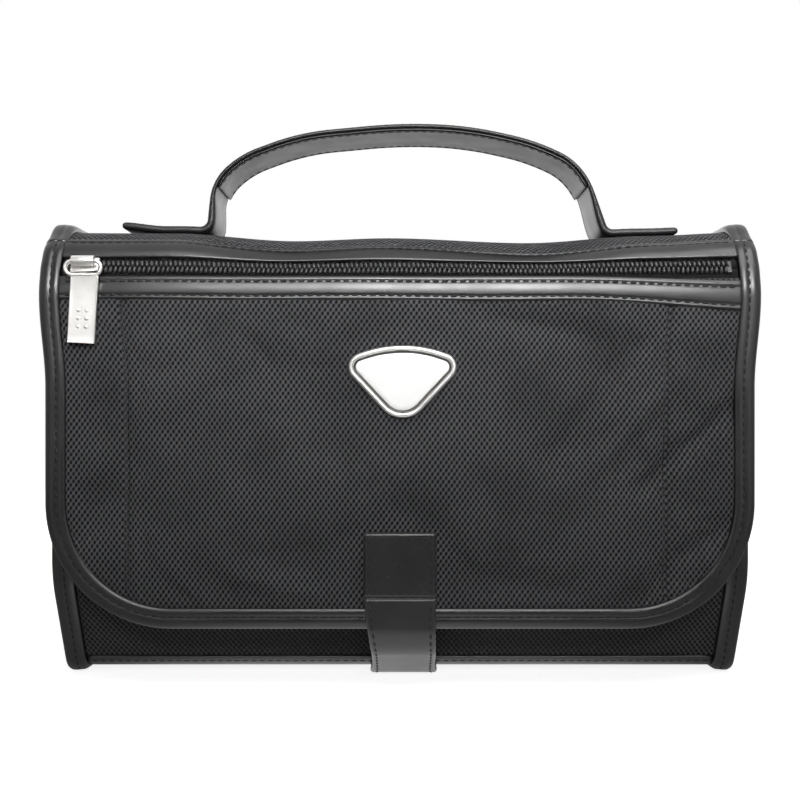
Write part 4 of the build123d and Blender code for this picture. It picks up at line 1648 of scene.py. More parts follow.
@dataclass
class Zipper(Part):
    """Two tapes with a nylon coil between the trims."""

    pitch: float = 1.85 * MM
    reach: float = 129.3 * MM
    row: float = 1.25 * MM
    tooth: Spot = (1.3 * MM, 2.8 * MM, 1.8 * MM)
    lean: float = math.radians(9.0)
    level: float = 0.35 * MM

    def tape(self, word: str, near: float, far: float) -> None:
        """One tape, from beside the coil to under its trim."""
        low = min(near, far)
        width = abs(far - near)
        section = [(0.0, 0.0), (width * 0.3, 0.15 * MM), (width * 0.7, 0.1 * MM), (width, 0.0)]
        section += [(width, -0.7 * MM), (width * 0.5, -0.7 * MM), (0.0, -0.7 * MM)]

        def carry(inward: Array, rise: Array, share: Array) -> Array:
            """Carries the tape from left to right."""
            across = (2 * share - 1) * (self.reach + 2.0 * MM)
            return self.skin.at(across, low + inward, rise - 0.9 * MM)

        piece = dress(swept(f"tape_{word}", section, 130, carry), self.finishes.tape)
        join_bag(piece, Body.FLAP, "zipper_tape", f"zipper_tape_{word}")

    def teeth(self, word: str, side: int) -> None:
        """One row of the coil's turns, leaning to make a chevron with the other row."""
        count = int(2 * self.reach / self.pitch)
        across = (np.arange(count) + (0.25 if side > 0 else 0.75)) * self.pitch - self.reach
        middle = self.skin.length_at(math.degrees(self.skin.zip_angle))
        down = middle + side * self.row
        spots = self.skin.at(across, down, self.level)
        up = self.skin.lift(across, down)
        out = unit(self.skin.at(across, down + 0.5 * MM) - self.skin.at(across, down - 0.5 * MM))
        run = unit(np.cross(out, up))
        turned = math.cos(self.lean) * out + side * math.sin(self.lean) * run
        frames = np.stack([unit(np.cross(turned, up)), turned, up], axis=1)
        model = bead(8, 6, (math.pi / 2, 0.0, 0.0), self.tooth)
        piece = dress(stamped(f"coil_{word}", model, spots, frames), self.finishes.coil)
        join_bag(piece, Body.FLAP, "zipper_nylon", f"zipper_coil_{word}")

    def finish(self) -> None:
        """Makes the tapes and the coil."""
        middle = self.skin.length_at(math.degrees(self.skin.zip_angle))
        self.tape("upper", middle - 0.2 * MM, self.skin.length_at(54.0))
        self.tape("lower", middle + 0.2 * MM, self.skin.length_at(77.0))
        self.teeth("upper", -1)
        self.teeth("lower", 1)


@dataclass
class Badge(Part):
    """Metal rim around a bare white enamel face."""

    level: float = 122.2 * MM
    aside: float = 1.0 * MM
    scale: float = 1.018
    heart: float = 2.6 * MM
    corners: Ring = (
        (0.0, 14.05), (-8.38, 14.05), (-25.2, 7.93), (0.0, -19.0), (25.2, 7.93), (8.38, 14.05), (0.0, 14.05),
    )
    radii: tuple[float, ...] = (47.4, 5.5, 10.7, 5.5, 47.4)
    rim: Ring = (
        (0.0, 0.0), (0.0, 0.8), (0.15, 1.35), (0.55, 1.9), (1.05, 2.15), (1.5, 2.1), (1.85, 1.75),
        (2.05, 1.2), (2.2, 0.75), (2.4, 0.6), (3.6, 0.6), (3.6, 0.0),
    )
    steps: int = 168

    def outline(self) -> tuple[Array, Array]:
        """The badge's edge, evenly spaced, and its outward normals in the plane."""
        corners = [(x * self.scale * MM, z * self.scale * MM) for x, z in self.corners]
        track = Track(corners, [radius * self.scale * MM for radius in self.radii])
        spot, heading = track.at(np.linspace(0.0, track.length, self.steps + 1))
        return spot, np.stack([heading[:, 1], -heading[:, 0]], axis=1)

    def stand(self, flat: Array, rise: Array) -> Array:
        """Points in front of the flap from places in the badge's plane."""
        return np.stack([self.aside + flat[:, 0], self.skin.face - rise, self.level + flat[:, 1]], axis=-1)

    def finish(self) -> None:
        """Makes the rim and the enamel."""
        edge, normal = self.outline()
        steps = self.steps

        def around(share: Array, inward: Array) -> Array:
            """Places inside the badge's edge."""
            index = np.rint(share * steps).astype(int) % steps
            return edge[index] - normal[index] * inward[:, None]

        def carry(inward: Array, rise: Array, share: Array) -> Array:
            """Carries the rim's section around."""
            return self.stand(around(share, inward), rise)

        rim = swept("badge_ring", np.array(self.rim) * MM, steps, carry)
        # the faces in the rim's groove take the dark copy of the metal: painted shade in the groove
        dress(rim, self.finishes.metal, self.finishes.groove_shade)
        for face in rim.data.polygons:
            depth = self.skin.face - face.center.y
            face.material_index = int(depth < 1.3 * MM and abs(face.normal.x) + abs(face.normal.z) < 0.995)
        join_bag(rim, Body.FLAP, "satin_metal", "badge_rim")
        places = (0.0, 0.2, 0.36, 0.44, 0.5, 0.56, 1.0)
        spread = (0.0, 0.6, 0.9, 0.98, 1.0, 1.0, 0.0)
        height = (2.1, 1.98, 1.74, 1.4, 0.9, 0.1, 0.1)

        def poured(across: Array, along: Array) -> Array:
            """Points of the enamel, from its middle over the edge and back below."""
            flat = around(across, np.full(across.shape, 3.0 * MM))
            heart = np.array((0.0, self.heart))
            flat = heart + (flat - heart) * np.interp(along, places, spread)[:, None]
            return self.stand(flat, np.interp(along, places, height) * MM)

        face = mapped_grid("badge_enamel", steps, 50, poured, ring=True)
        join_bag(dress(face, self.finishes.enamel), Body.FLAP, "white_enamel", "badge_face")


@dataclass
class Strap(Part):
    """Closure strap: sewn base on the flap, free strap over the toe and tip below the bottom."""

    width: float = 28.0 * MM
    thick: float = 1.9 * MM
    row: float = 2.1 * MM
    top: float = 62.8 * MM
    crease: float = 38.0 * MM
    split: float = -8.0 * MM

    def __post_init__(self) -> None:
        """Works out the strap's side view."""
        self.track = Track(
            [(-39.45 * MM, self.top), (-39.45 * MM, 18 * MM), (-12 * MM, 0.95 * MM), (13.9 * MM, 0.95 * MM)],
            [14 * MM, 20 * MM],
        )
        levels = np.linspace(0.0, self.track.length, 3000)
        depth = self.track.at(levels)[0][:, 0]
        low = levels > self.top - self.crease + 10 * MM
        self.break_length = float(np.interp(self.split, depth[low], levels[low]))

    def at(self, across: Array, along: Array, rise: Array) -> Array:
        """Points of the strap from X, length from its top and height above its middle."""
        crease = self.top - self.crease
        groove = 0.9 * MM * np.exp(-(((along - crease - 0.5 * MM) / (0.55 * MM)) ** 2))
        bulge = groove + 0.35 * MM * smooth(along, crease - 0.3 * MM, crease + 0.4 * MM)
        lean = 1.5 * MM * smooth(along, crease, crease + 30 * MM)
        taper = 1.0 - 0.09 * smooth(along, crease, crease + 26 * MM) * (1 - smooth(along, 70 * MM, 80 * MM))
        spot = self.track.beside(along, np.where(rise > 0, bulge, 0.0) - rise)
        return np.stack([across * taper + lean, spot[..., 0], spot[..., 1]], axis=-1)

    def ribbon(self, name: str, start: float, end: float, slack: float, stations: int) -> Piece:
        """A run of the strap with round edges and dipped stitch rows."""
        half = self.width / 2
        rows = (self.row, self.width - self.row)
        width, face = self.width - 2 * slack, self.thick / 2 - slack
        top = strip_section(width, face, 0.0, 0.9 * MM, rows, 0.15 * MM)[:-3]
        under = [(share * width, -face) for share in np.linspace(1.0, 0.0, 7)]
        section = [(place + slack - half, height) for place, height in [*top, *under]]
        tip = self.track.length

        def carry(aside: Array, rise: Array, share: Array) -> Array:
            """Carries the section along the strap."""
            along = start + (end - start) * share
            round_tip = np.sqrt(np.maximum(0.0, 1 - np.clip(1 - (tip - along) / (3.4 * MM), 0, 1) ** 2))
            squeezed = np.sign(aside) * np.minimum(np.abs(aside), half - 3.4 * MM * (1 - round_tip))
            thick = 1.0 - 0.35 * np.exp(-(np.minimum(along, tip - along) / (0.5 * MM)))
            padded = np.where(along < self.top - self.crease, 1.0, 0.0)
            low = rise - 1.3 * MM * padded * (rise < 0)
            return self.at(squeezed, along, np.where(rise < 0, low, rise * thick))

        return dress(swept(name, section, stations, carry), self.finishes.leather)

    def edge_rows(self, start: float, end: float) -> Rows:
        """Stitch rows along both edges between two lengths."""
        along = np.linspace(start, end, 200)
        inset = self.width / 2 - self.row
        return [self.lifted(across, along) for across in (-inset, inset)]

    def lifted(self, across: Array | float, along: Array) -> Row:
        """A path on the strap's face with its outward directions."""
        face = self.thick / 2
        return raised(self.at, across, along, face - 0.1 * MM, face + 1.0 * MM)

    def base_rows(self) -> Rows:
        """The sewn box and its crossing lines."""
        half = self.width / 2 - self.row
        top, low = self.row, self.top - self.crease - 1.2 * MM
        inner = half - MM
        lines = (
            ((-half, top), (half, top)),
            ((-half, low), (half, low)),
            ((-inner, top + MM), (inner, low - MM)),
            ((inner, top + MM), (-inner, low - MM)),
        )
        share = np.linspace(0.0, 1.0, 60)[:, None]
        ways = (np.array(start) + (np.array(end) - start) * share for start, end in lines)
        return [self.lifted(way[:, 0], way[:, 1]) for way in ways]

    def finish(self) -> None:
        """Makes the strap's two runs and their stitches."""
        low, high = (0, 0, self.crease - 1.5 * MM), (0, 0, self.crease + 1.5 * MM)
        long = self.ribbon("strap_run", 0.0, self.break_length + 1.5 * MM, 0.0, 240)
        join_bag(long, Bend(Body.FLAP, Body.STRAP, high, low), "leather", "strap_base", "closure_strap")
        end = self.ribbon("strap_end_run", self.break_length - 1.0 * MM, self.track.length, 0.06 * MM, 60)
        bend = Bend(Body.STRAP, Body.STRAP_END, (0, self.split, 0), (0, 1.5 * MM, 0))
        join_bag(end, bend, "leather", "strap_tip")
        crease = self.top - self.crease
        stitched = [*self.base_rows(), *self.edge_rows(self.row, crease - 1.2 * MM)]
        box = Thread(pitch=3.0 * MM, length=2.1 * MM, width=0.6 * MM)
        self.sew("strap_box_stitches", stitched, Body.FLAP, thread=box)
        self.sew("strap_stitches", self.edge_rows(crease + 3 * MM, self.break_length - 2 * MM), Body.STRAP)


@dataclass
class Handle(Part):
    """Arched leather handle, one strap from tab end to tab end with a softer grip below."""

    middle: float = 2.0 * MM
    width: float = 28.6 * MM
    thick: float = 3.2 * MM
    axis: float = 204.0 * MM
    row: float = 1.9 * MM
    corners: Ring = (
        (-116.0, 185.6), (-79.4, 185.6), (-77.6, 206.8), (-66.2, 217.0), (-41.7, 226.0), (0.0, 229.9),
        (28.5, 228.9), (56.9, 222.5), (76.0, 213.2), (86.0, 185.6), (116.0, 185.6),
    )
    radii: tuple[float, ...] = (5.0, 22.0, 60.0, 400.0, 900.0, 900.0, 400.0, 30.0, 5.0)
    share: float = 0.495

    def __post_init__(self) -> None:
        """Works out the handle's front view."""
        corners = [Vector((x * MM, z * MM)) for x, z in self.corners]
        radii = []
        for before, corner, after, radius in zip(corners, corners[1:], corners[2:], self.radii):
            reach = self.share * min((corner - before).length, (after - corner).length)
            turn = (corner - before).angle(after - corner)
            radii.append(min(radius * MM, reach / math.tan(turn / 2)))
        self.track = Track(corners, radii)
        levels = np.linspace(0.0, self.track.length, 4000)
        heights = self.track.at(levels)[0][:, 1]
        above = levels[heights > self.axis + 0.6 * MM]
        self.grip = (float(above[0]), float(above[-1]))

    def at(self, aside: Array, along: Array, rise: Array) -> Array:
        """Points of the strap from Y, length from its left end and height above its middle."""
        arch = smooth(self.track.at(along)[0][..., 1], 190 * MM, 212 * MM)
        spot = self.track.beside(along, rise - 0.5 * MM * (aside / (self.width / 2)) ** 2 * arch)
        seat = 1.0 - smooth(spot[..., 1], 188 * MM, 203 * MM)
        sunk = self.skin.dent(spot[..., 0], -(self.middle + aside - self.skin.middle[0]))
        lift = 1.6 * MM * smooth(-spot[..., 0], 98 * MM, 117 * MM)
        return np.stack([spot[..., 0], self.middle + aside, spot[..., 1] + (lift - sunk) * seat], axis=-1)

    def trimmed(self, along: Array, rise: Array) -> Array:
        """Heights drawn in towards the upper face where the arch is thinner than its tabs."""
        arch = smooth(self.track.at(along)[0][..., 1], 190 * MM, 204 * MM)
        upper = self.thick / 2
        return upper + (rise - upper) * (1.0 - 0.38 * arch)

    def ribbon(self, name: str, run: tuple[float, float], low: float, high: float, stations: int) -> Piece:
        """A run of leather with round edges and dipped stitch rows, between two heights."""
        thick = high - low
        rows = (self.row, self.width - self.row)
        top = strip_section(self.width, thick / 2, 0.0, 1.3 * MM, rows, 0.2 * MM)[:-3]
        half = [(place - self.width / 2, height) for place, height in top]
        section = [*half, *((-place, -height) for place, height in half)]
        middle = (low + high) / 2

        def carry(aside: Array, rise: Array, share: Array) -> Array:
            """Carries the section along the handle."""
            along = run[0] + (run[1] - run[0]) * share
            end = np.minimum(along - run[0], run[1] - along)
            thin = 1.0 - 0.4 * np.exp(-end / (0.5 * MM))
            return self.at(aside, along, self.trimmed(along, middle + rise * thin))

        return dress(swept(name, section, stations, carry), self.finishes.handle_leather)

    def stitches(self) -> Piece:
        """Stitch rows along both edges, above and below."""
        rows = []
        inset = self.width / 2 - self.row
        below = -self.thick / 2 - 2.0 * MM
        for sign in (-1, 1):
            for run, level, out in (
                ((3 * MM, self.track.length - 3 * MM), self.thick / 2 - 0.12 * MM, 1.0),
                ((self.grip[0] + 2 * MM, self.grip[1] - 2 * MM), below + 0.12 * MM, -1.0),
            ):
                along = np.linspace(*run, 500)
                aside = np.full(along.shape, sign * inset)
                flush = self.trimmed(along, np.full(along.shape, level))
                rows.append(raised(self.at, aside, along, flush, flush + out * MM))
        return dress(Thread().rows("handle_stitches", rows), self.finishes.thread)

    def finish(self) -> None:
        """Makes the strap, its grip layer and the stitches."""
        bend = Bend(Body.ROOT, Body.HANDLE, (0, self.middle, 190 * MM), (0, self.middle, self.axis))
        strap = self.ribbon("handle_run", (0.0, self.track.length), -self.thick / 2, self.thick / 2, 330)
        join_bag(strap, bend, "leather", "handle_strap", "handle_tab_left", "handle_tab_right")
        join_bag(self.stitches(), bend, "leather")
        low = -self.thick / 2 - 2.0 * MM
        grip = self.ribbon("handle_grip_layer", self.grip, low, -self.thick / 2 + 0.3 * MM, 260)
        join_bag(grip, Body.HANDLE, "leather", "handle_grip")


def bevelled(piece: Piece, width: float, segments: int = 3) -> Piece:
    """Rounds a piece's sharp edges.

    Args:
        piece: a mesh object.
        width: how far the round edges reach.
        segments: faces across each round edge.

    Returns:
        The same object.
    """
    modifier = piece.modifiers.new("edges", "BEVEL")
    modifier.width = width
    modifier.segments = segments
    modifier.limit_method = "ANGLE"
    modifier.angle_limit = math.radians(30.0)
    apply_modifiers(piece)
    bpy.ops.object.shade_smooth_by_angle(angle=math.radians(40.0))
    return piece


def block(size: Spot, spot: Spot) -> Piece:
    """A plain box of a size at a place."""
    deselect()
    bpy.ops.mesh.primitive_cube_add(size=1.0)
    piece = bpy.context.object
    piece.scale = size
    piece.location = spot
    return settle(piece)


@dataclass
class Slider(Part):
    """Zipper slider: plate over the coil, neck and the tube that holds the pull's ring."""

    start: float = -124.0 * MM
    length: float = 11.0 * MM
    width: float = 7.6 * MM
    low: float = 1.6 * MM
    thick: float = 1.2 * MM
    axis: tuple[float, float] = (-39.4 * MM, 169.446 * MM)
    tube: float = 2.1 * MM
    bore: float = 0.95 * MM
    tube_length: float = 9.0 * MM

    def placed(self, piece: Piece) -> Piece:
        """Carries a piece from X, up the slope and out of it to the slider's place."""
        angle = self.skin.zip_angle
        up = np.array((0.0, math.cos(angle), math.sin(angle)))
        out = np.array((0.0, -math.sin(angle), math.cos(angle)))
        points = read_points(piece)
        origin = np.array((self.start, *self.skin.middle)) + self.skin.shoulder * out
        moved = origin + points[:, :1] * (1.0, 0.0, 0.0) + points[:, 1:2] * up + points[:, 2:] * out
        write_points(piece, moved)
        return piece

    def plate(self) -> Piece:
        """The top plate, narrower at its far end, with its long edges turned down."""
        plate = block((self.length, self.width, self.thick), (0.0, 0.0, self.low + self.thick / 2))
        points = read_points(plate)
        points[:, 1] *= np.where(points[:, 0] > 0.0, 0.78, 1.0)
        write_points(plate, points)
        bevelled(plate, 0.45 * MM, 4)
        edges = []
        for side in (-1, 1):
            spot = (-self.length * 0.18, side * (self.width / 2 - 0.45 * MM), self.low - 0.1 * MM)
            edges.append(bevelled(block((self.length * 0.5, 0.7 * MM, 1.1 * MM), spot), 0.2 * MM))
        neck = block((2.6 * MM, 1.4 * MM, 2.8 * MM), (0.0, 0.0, self.low + self.thick + 0.6 * MM))
        return joined("slider_plate", plate, bevelled(neck, 0.3 * MM), *edges)

    def ring_tube(self) -> Piece:
        """The tube across the neck, open at both ends."""
        half, tube = self.tube_length / 2, self.tube
        section = [
            (-half, self.bore), (-half, tube - 0.35 * MM), (-half + 0.1 * MM, tube - 0.1 * MM),
            (-half + 0.4 * MM, tube), (half - 0.4 * MM, tube), (half - 0.1 * MM, tube - 0.1 * MM),
            (half, tube - 0.35 * MM), (half, self.bore),
        ]

        def carry(across: Array, radius: Array, share: Array) -> Array:
            """Turns the section about the tube's axis."""
            angle = 2 * math.pi * share
            depth = self.axis[0] + radius * np.cos(angle)
            return np.stack([self.start + across, depth, self.axis[1] + radius * np.sin(angle)], axis=-1)

        tube = swept("slider_tube", section, 28, carry)
        bpy.ops.object.shade_smooth_by_angle(angle=math.radians(40.0))
        return tube

    def finish(self) -> None:
        """Makes the slider and fixes it to the slider's body."""
        plate = dress(self.placed(self.plate()), self.finishes.metal)
        join_bag(plate, Body.SLIDER, "satin_metal", "slider_body")
        tube = dress(self.ring_tube(), self.finishes.metal)
        join_bag(tube, Body.SLIDER, "satin_metal", "slider_crown")


@dataclass
class Pull:
    """The slider's pull: a wire ring and a plate with a recess and raised dots."""

    finishes: Finishes
    middle: Spot = (-124.0 * MM, -39.4 * MM, 169.446 * MM)
    ring: tuple[float, float] = (15.5 * MM, 7.0 * MM)
    wire: float = 1.6 * MM
    ring_corner: float = 2.6 * MM
    size: tuple[float, float] = (10.6 * MM, 26.8 * MM)
    thick: float = 1.8 * MM
    recess: tuple[float, float] = (7.6 * MM, 12.4 * MM)
    margin: float = 3.4 * MM
    depth: float = 0.4 * MM
    dot: float = 0.8 * MM
    pitch: float = 3.2 * MM
    lean: float = math.radians(3.0)
    middle_face: int = 4

    def wire_ring(self) -> Piece:
        """The ring, whose upper bar turns in the slider's tube."""
        half, drop = (self.ring[0] - self.wire) / 2, self.ring[1] - self.wire
        corners = [(0.0, 0.0), (half, 0.0), (half, -drop), (-half, -drop), (-half, 0.0), (0.0, 0.0)]
        track = Track(corners, [self.ring_corner] * 4)
        turns = np.linspace(0.0, 2 * math.pi, 12, endpoint=False)
        section = [(self.wire / 2 * math.cos(turn), self.wire / 2 * math.sin(turn)) for turn in turns]

        def carry(aside: Array, out: Array, share: Array) -> Array:
            """Carries the wire's section around the ring."""
            flat = track.beside(share * track.length, aside)
            return np.stack([flat[..., 0], -out, flat[..., 1]], axis=-1) + np.array(self.middle)

        return swept("pull_ring", section, 96, carry)

    def plate(self) -> Piece:
        """The plate with its recess and dots."""
        wide, tall = self.size
        low = -tall / 2
        columns = np.array([-wide / 2, -self.recess[0] / 2, self.recess[0] / 2, wide / 2])
        levels = np.array([low, low + self.margin, low + self.margin + self.recess[1], tall / 2])

        def place(across: Array, along: Array) -> Array:
            """Puts the grid's lines on the recess's edges."""
            x = columns[np.rint(across * 3).astype(int)]
            z = levels[np.rint(along * 3).astype(int)]
            return np.stack([x, np.full(x.shape, -self.thick / 2), z], axis=-1)

        plate = mapped_grid("pull_plate", 3, 3, place)
        for face in plate.data.polygons:
            face.select = face.index == self.middle_face
        bpy.ops.object.mode_set(mode="EDIT")
        bpy.ops.mesh.inset(thickness=0.3 * MM, depth=0.0)
        bpy.ops.transform.translate(value=(0.0, self.depth, 0.0))
        bpy.ops.mesh.select_all(action="DESELECT")
        bpy.ops.mesh.select_mode(type="EDGE")
        bpy.ops.mesh.select_non_manifold()
        bpy.ops.mesh.extrude_region_move(TRANSFORM_OT_translate={"value": (0.0, self.thick, 0.0)})
        bpy.ops.mesh.edge_face_add()
        bpy.ops.mesh.select_mode(type="VERT")
        bpy.ops.mesh.select_all(action="SELECT")
        bpy.ops.mesh.normals_make_consistent(inside=False)
        bpy.ops.object.mode_set(mode="OBJECT")
        bevelled(plate, 0.32 * MM, 3)
        dots = []
        centre = low + self.margin + self.recess[1] / 2
        for column in (-0.5, 0.5):
            for row in (-1, 0, 1):
                deselect()
                spot = (column * self.pitch, -self.thick / 2 + self.depth, centre + row * self.pitch)
                bpy.ops.mesh.primitive_uv_sphere_add(segments=16, ring_count=10, radius=self.dot)
                dot = bpy.context.object
                dot.location = spot
                dot.scale = (1.0, 0.55, 1.0)
                bpy.ops.object.shade_smooth()
                dots.append(settle(dot))
        return joined("pull_plate", plate, *dots)

    def finish(self) -> None:
        """Makes the pull and fixes it to its body."""
        drop = self.ring[1] - self.wire
        plate = self.plate()
        plate.rotation_euler = (0.0, self.lean, 0.0)
        x, y, z = self.middle
        plate.location = (x, y, z - drop - self.size[1] / 2)
        settle(plate)
        pull = dress(joined("pull_tag", self.wire_ring(), plate), self.finishes.metal)
        join_bag(pull, Body.PULL, "satin_metal", "pull_tab")


@dataclass
class Inside(Part):
    """Slip pocket on the back wall, its elastic, and the lining across the flap's hinge."""

    half: float = 110.0 * MM
    low: float = 22.0 * MM
    high: float = 96.0 * MM
    back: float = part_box("inner_pocket")[0].y
    thick: float = 0.8 * MM

    def sag(self, across: Array, level: Array) -> Array:
        """How far the pocket's cloth stands away from the wall."""
        share = (level - self.low) / (self.high - self.low)
        gathers = np.sin(across / (5.2 * MM)) * 0.5 + np.sin(across / (8.7 * MM) + 1.0) * 0.5
        edge = smooth(self.half - np.abs(across), 2 * MM, 16 * MM)
        belly = 1.6 * MM * np.sin(np.pi * np.clip(share, 0, 1)) * edge
        return belly + 0.8 * MM * gathers * smooth(share, 0.35, 1.0) * edge

    def pocket(self) -> Piece:
        """The pocket's gathered sheet."""
        spots = np.linspace(0.0, 1.0, 24)
        face = [(0.0, self.low + share * (self.high - self.low)) for share in spots]
        behind = [(self.thick, height) for _, height in reversed(face)]

        def carry(back: Array, level: Array, share: Array) -> Array:
            """Carries the upright section across the bag."""
            across = (2 * share - 1) * self.half
            depth = self.back - self.sag(across, level) + back
            return np.stack([across, depth, level], axis=-1)

        piece = swept("slip_pocket", [*face, *behind], 260, carry)
        points = read_points(piece)
        write_cloth_map(piece, points[:, [0, 2]])
        return dress(piece, self.finishes.lining)

    def band(self) -> Piece:
        """The elastic band along the pocket's top."""
        tall, thick = 8.0 * MM, 1.2 * MM
        section = [(0.0, -tall), (0.0, 0.0), (-0.25 * MM, 0.35 * MM), (-thick + 0.25 * MM, 0.35 * MM)]
        section += [(-thick, 0.0), (-thick, -tall)]

        def carry(back: Array, level: Array, share: Array) -> Array:
            """Carries the band's section along the pocket's top edge."""
            across = (2 * share - 1) * self.half
            depth = self.back - self.sag(across, np.full(across.shape, self.high)) + back
            return np.stack([across, depth, self.high + level], axis=-1)

        return dress(swept("pocket_band", section, 260, carry), self.finishes.elastic)

    def hinge_strip(self) -> Piece:
        """The lining that runs from the body's inside on to the flap's."""
        start, end = 11.0 * MM, 25.0 * MM
        steps = np.linspace(0.0, end - start, 12)
        section = [(float(step), 0.0) for step in steps]
        section += [(float(step), -0.5 * MM) for step in reversed(steps)]
        reach = self.skin.half - 9.0 * MM

        def carry(way: Array, rise: Array, share: Array) -> Array:
            """Carries the strip's section across the bag."""
            depth = 5.3 * MM + 1.5 * MM * smooth(start + way, 12 * MM, 20 * MM)
            return self.skin.at((2 * share - 1) * reach, start + way, rise - depth)

        piece = swept("hinge_lining", section, 90, carry)
        points = read_points(piece)
        write_cloth_map(piece, points[:, [0, 1]])
        return dress(piece, self.finishes.lining)

    def finish(self) -> None:
        """Makes the pocket, its elastic and the hinge's lining."""
        pocket = join_bag(self.pocket(), Body.ROOT, "lining_fabric", "inner_pocket")
        join_bag(self.band(), Body.ROOT, "elastic", "pocket_elastic")
        angle = self.skin.hinge_angle
        out = Vector((0.0, -math.sin(angle), math.cos(angle)))
        spot = Vector((0.0, *self.skin.middle)) + out * self.skin.shoulder
        way = Vector((0.0, -math.cos(angle), -math.sin(angle))) * 3.5 * MM
        bend = Bend(Body.ROOT, Body.FLAP, tuple(spot - way), tuple(spot + way))
        join_bag(self.hinge_strip(), bend, "lining_fabric")


# Studio


@dataclass(frozen=True)
class Lamp:
    """A soft lamp that faces the bag, with its size in metres and its power in watts."""

    name: str
    spot: Spot
    size: tuple[float, float]
    power: float
    aim: float = 0.12
    spread: float = math.pi

    def light(self) -> None:
        """Adds the lamp to the scene, turned to the height of its aim."""
        deselect()
        bpy.ops.object.light_add(type="AREA", location=self.spot)
        lamp = bpy.context.object
        lamp.name = self.name
        lamp.data.shape = "RECTANGLE"
        lamp.data.size, lamp.data.size_y = self.size
        lamp.data.energy = self.power
        lamp.data.spread = self.spread
        way = Vector((0.0, 0.0, self.aim)) - Vector(self.spot)
        lamp.rotation_euler = way.to_track_quat("-Z", "Y").to_euler()


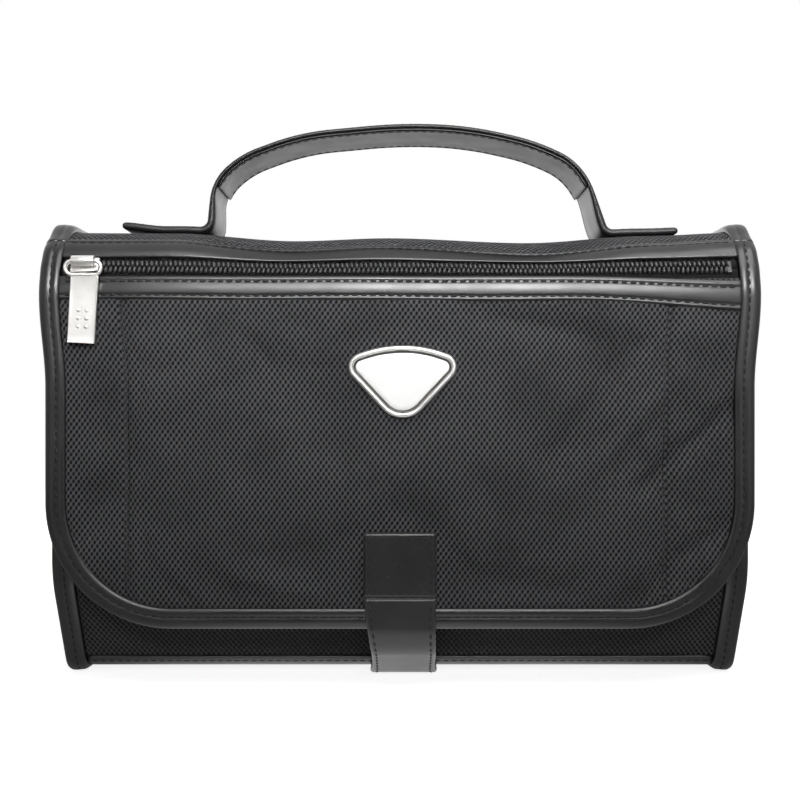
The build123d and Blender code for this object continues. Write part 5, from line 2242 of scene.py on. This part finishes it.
@dataclass(frozen=True)
class Studio:
    """Pale floor, soft light and the camera."""

    eye: Spot = (0.0006, -0.438, 0.115)
    lens: float = 45.84
    shift: float = -0.0019
    floor: float = 0.0
    floor_shade: float = 0.5
    # the floor's glow for the camera next to the bag, lower than far off: painted shade around the bag
    near: float = 0.86
    fill: float = 0.06
    lamps: tuple[Lamp, ...] = (
        Lamp("key_lamp", (0.08, -0.29, 0.54), (0.6, 0.26), 2.0),
        Lamp("front_lamp", (0.06, -0.72, 0.47), (0.5, 0.2), 0.55, 0.24, math.radians(38.0)),
        Lamp("left_card", (-0.44, -0.8, 0.2), (0.26, 0.4), 0.3),
        Lamp("right_card", (0.5, -0.66, 0.2), (0.26, 0.4), 0.3),
        Lamp("back_lamp", (-0.2, 0.85, 0.32), (1.2, 0.6), 2.4),
    )

    def floor_material(self) -> Material:
        """A pale floor that looks white where no shadow falls; it glows for the camera, a little less near
        the bag as painted shade, and glows for glossy rays near and behind the bag as a painted reflection.
        """
        mix = Recipe("studio_floor")
        light = mix.node("ShaderNodeLightPath").outputs
        across, along, _ = mix.split(mix.place())
        squares = mix.math("MULTIPLY_ADD", along, along, mix.math("MULTIPLY", across, across))
        apart = mix.math("SQRT", squares)
        # the camera sees the floor glow, less near the bag: painted shade
        far = mix.span(apart, 0.14, 0.36, self.near, 1.0)
        # glossy rays see the floor glow near and behind the bag: painted reflection
        beside = mix.span(apart, 0.05, 0.16, 0.9, 0.05)
        around = mix.math("MAXIMUM", beside, mix.span(along, 0.05, 0.3, 0.0, 0.7))
        mirrored = mix.math("MULTIPLY", light["Is Glossy Ray"], around)
        seen = mix.math("MAXIMUM", mix.math("MULTIPLY", light["Is Camera Ray"], far), mirrored)
        return mix.finish(
            Base_Color=grey(self.floor_shade),
            Roughness=0.9,
            Specular_IOR_Level=0.0,
            Emission_Color=grey(1.0),
            Emission_Strength=mix.math("MAXIMUM", seen, light["Is Transmission Ray"]),
        )

    def world(self) -> World:
        """Plain light from all round, which the camera and mirrors see as white."""
        mix = Recipe("studio", world=True)
        light = mix.node("ShaderNodeLightPath").outputs
        across, along, _ = mix.split(mix.node("ShaderNodeTexCoord").outputs["Generated"])
        flank = mix.span(mix.math("ABSOLUTE", across), 0.35, 0.8, 0.0, 0.7)
        around = mix.math("MAXIMUM", mix.span(along, -0.85, 0.35, 0.02, 1.0), flank)
        mirrored = mix.math("MULTIPLY", light["Is Glossy Ray"], around)
        direct = mix.math("MAXIMUM", light["Is Camera Ray"], light["Is Transmission Ray"])
        seen = mix.math("MAXIMUM", direct, mirrored)
        fill = mix.math("MULTIPLY", light["Is Diffuse Ray"], self.fill)
        return mix.finish(Color=grey(1.0), Strength=mix.math("MAXIMUM", seen, fill))

    def build(self) -> None:
        """Makes the floor, the world, the lamps and the camera."""
        deselect()
        bpy.ops.mesh.primitive_plane_add(size=60.0, location=(0.0, 0.0, self.floor - 0.1 * MM))
        floor = dress(bpy.context.object, self.floor_material())
        floor.name = "studio_floor"
        bpy.context.scene.world = self.world()
        for lamp in self.lamps:
            lamp.light()
        bpy.ops.object.camera_add(location=self.eye, rotation=(math.pi / 2, 0.0, 0.0))
        camera = bpy.context.object
        camera.data.sensor_width = 36.0
        camera.data.lens = self.lens
        camera.data.shift_x = self.shift
        camera.data.clip_start = 0.01
        bpy.context.scene.camera = camera
        bpy.context.scene.view_settings.view_transform = "Standard"


def dress_solids(finishes: Finishes) -> None:
    """Gives the solids that stay in view their materials."""
    wanted = {
        "bottom_board": finishes.board,
        "back_board": finishes.board,
        "badge_prongs": finishes.metal,
        "badge_back_plate": finishes.metal,
        "hook_patch": finishes.hooks,
        "loop_patch": finishes.hooks,
        "zipper_stops": finishes.coil,
    }
    for name, material in wanted.items():
        dress(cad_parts[name], material)


def main() -> None:
    """Dresses the whole bag and sets the studio."""
    logging.basicConfig(level=logging.INFO)
    finishes = Finishes()
    skin = Skin()
    wall = Wall(skin)
    parts = [
        BodyCover(skin, finishes),
        FrontWall(skin, finishes, wall=wall),
        Gusset(skin, finishes, wall, Side.LEFT),
        Gusset(skin, finishes, wall, Side.RIGHT),
        Bindings(skin, finishes, wall),
        FlapPad(skin, finishes),
        Trims(skin, finishes),
        Zipper(skin, finishes),
        Badge(skin, finishes),
        Strap(skin, finishes),
        Handle(skin, finishes),
        Slider(skin, finishes),
        Pull(finishes),
        Inside(skin, finishes),
    ]
    for part in parts:
        part.finish()
    dress_solids(finishes)
    Studio().build()


if __name__ == "__main__":
    main()
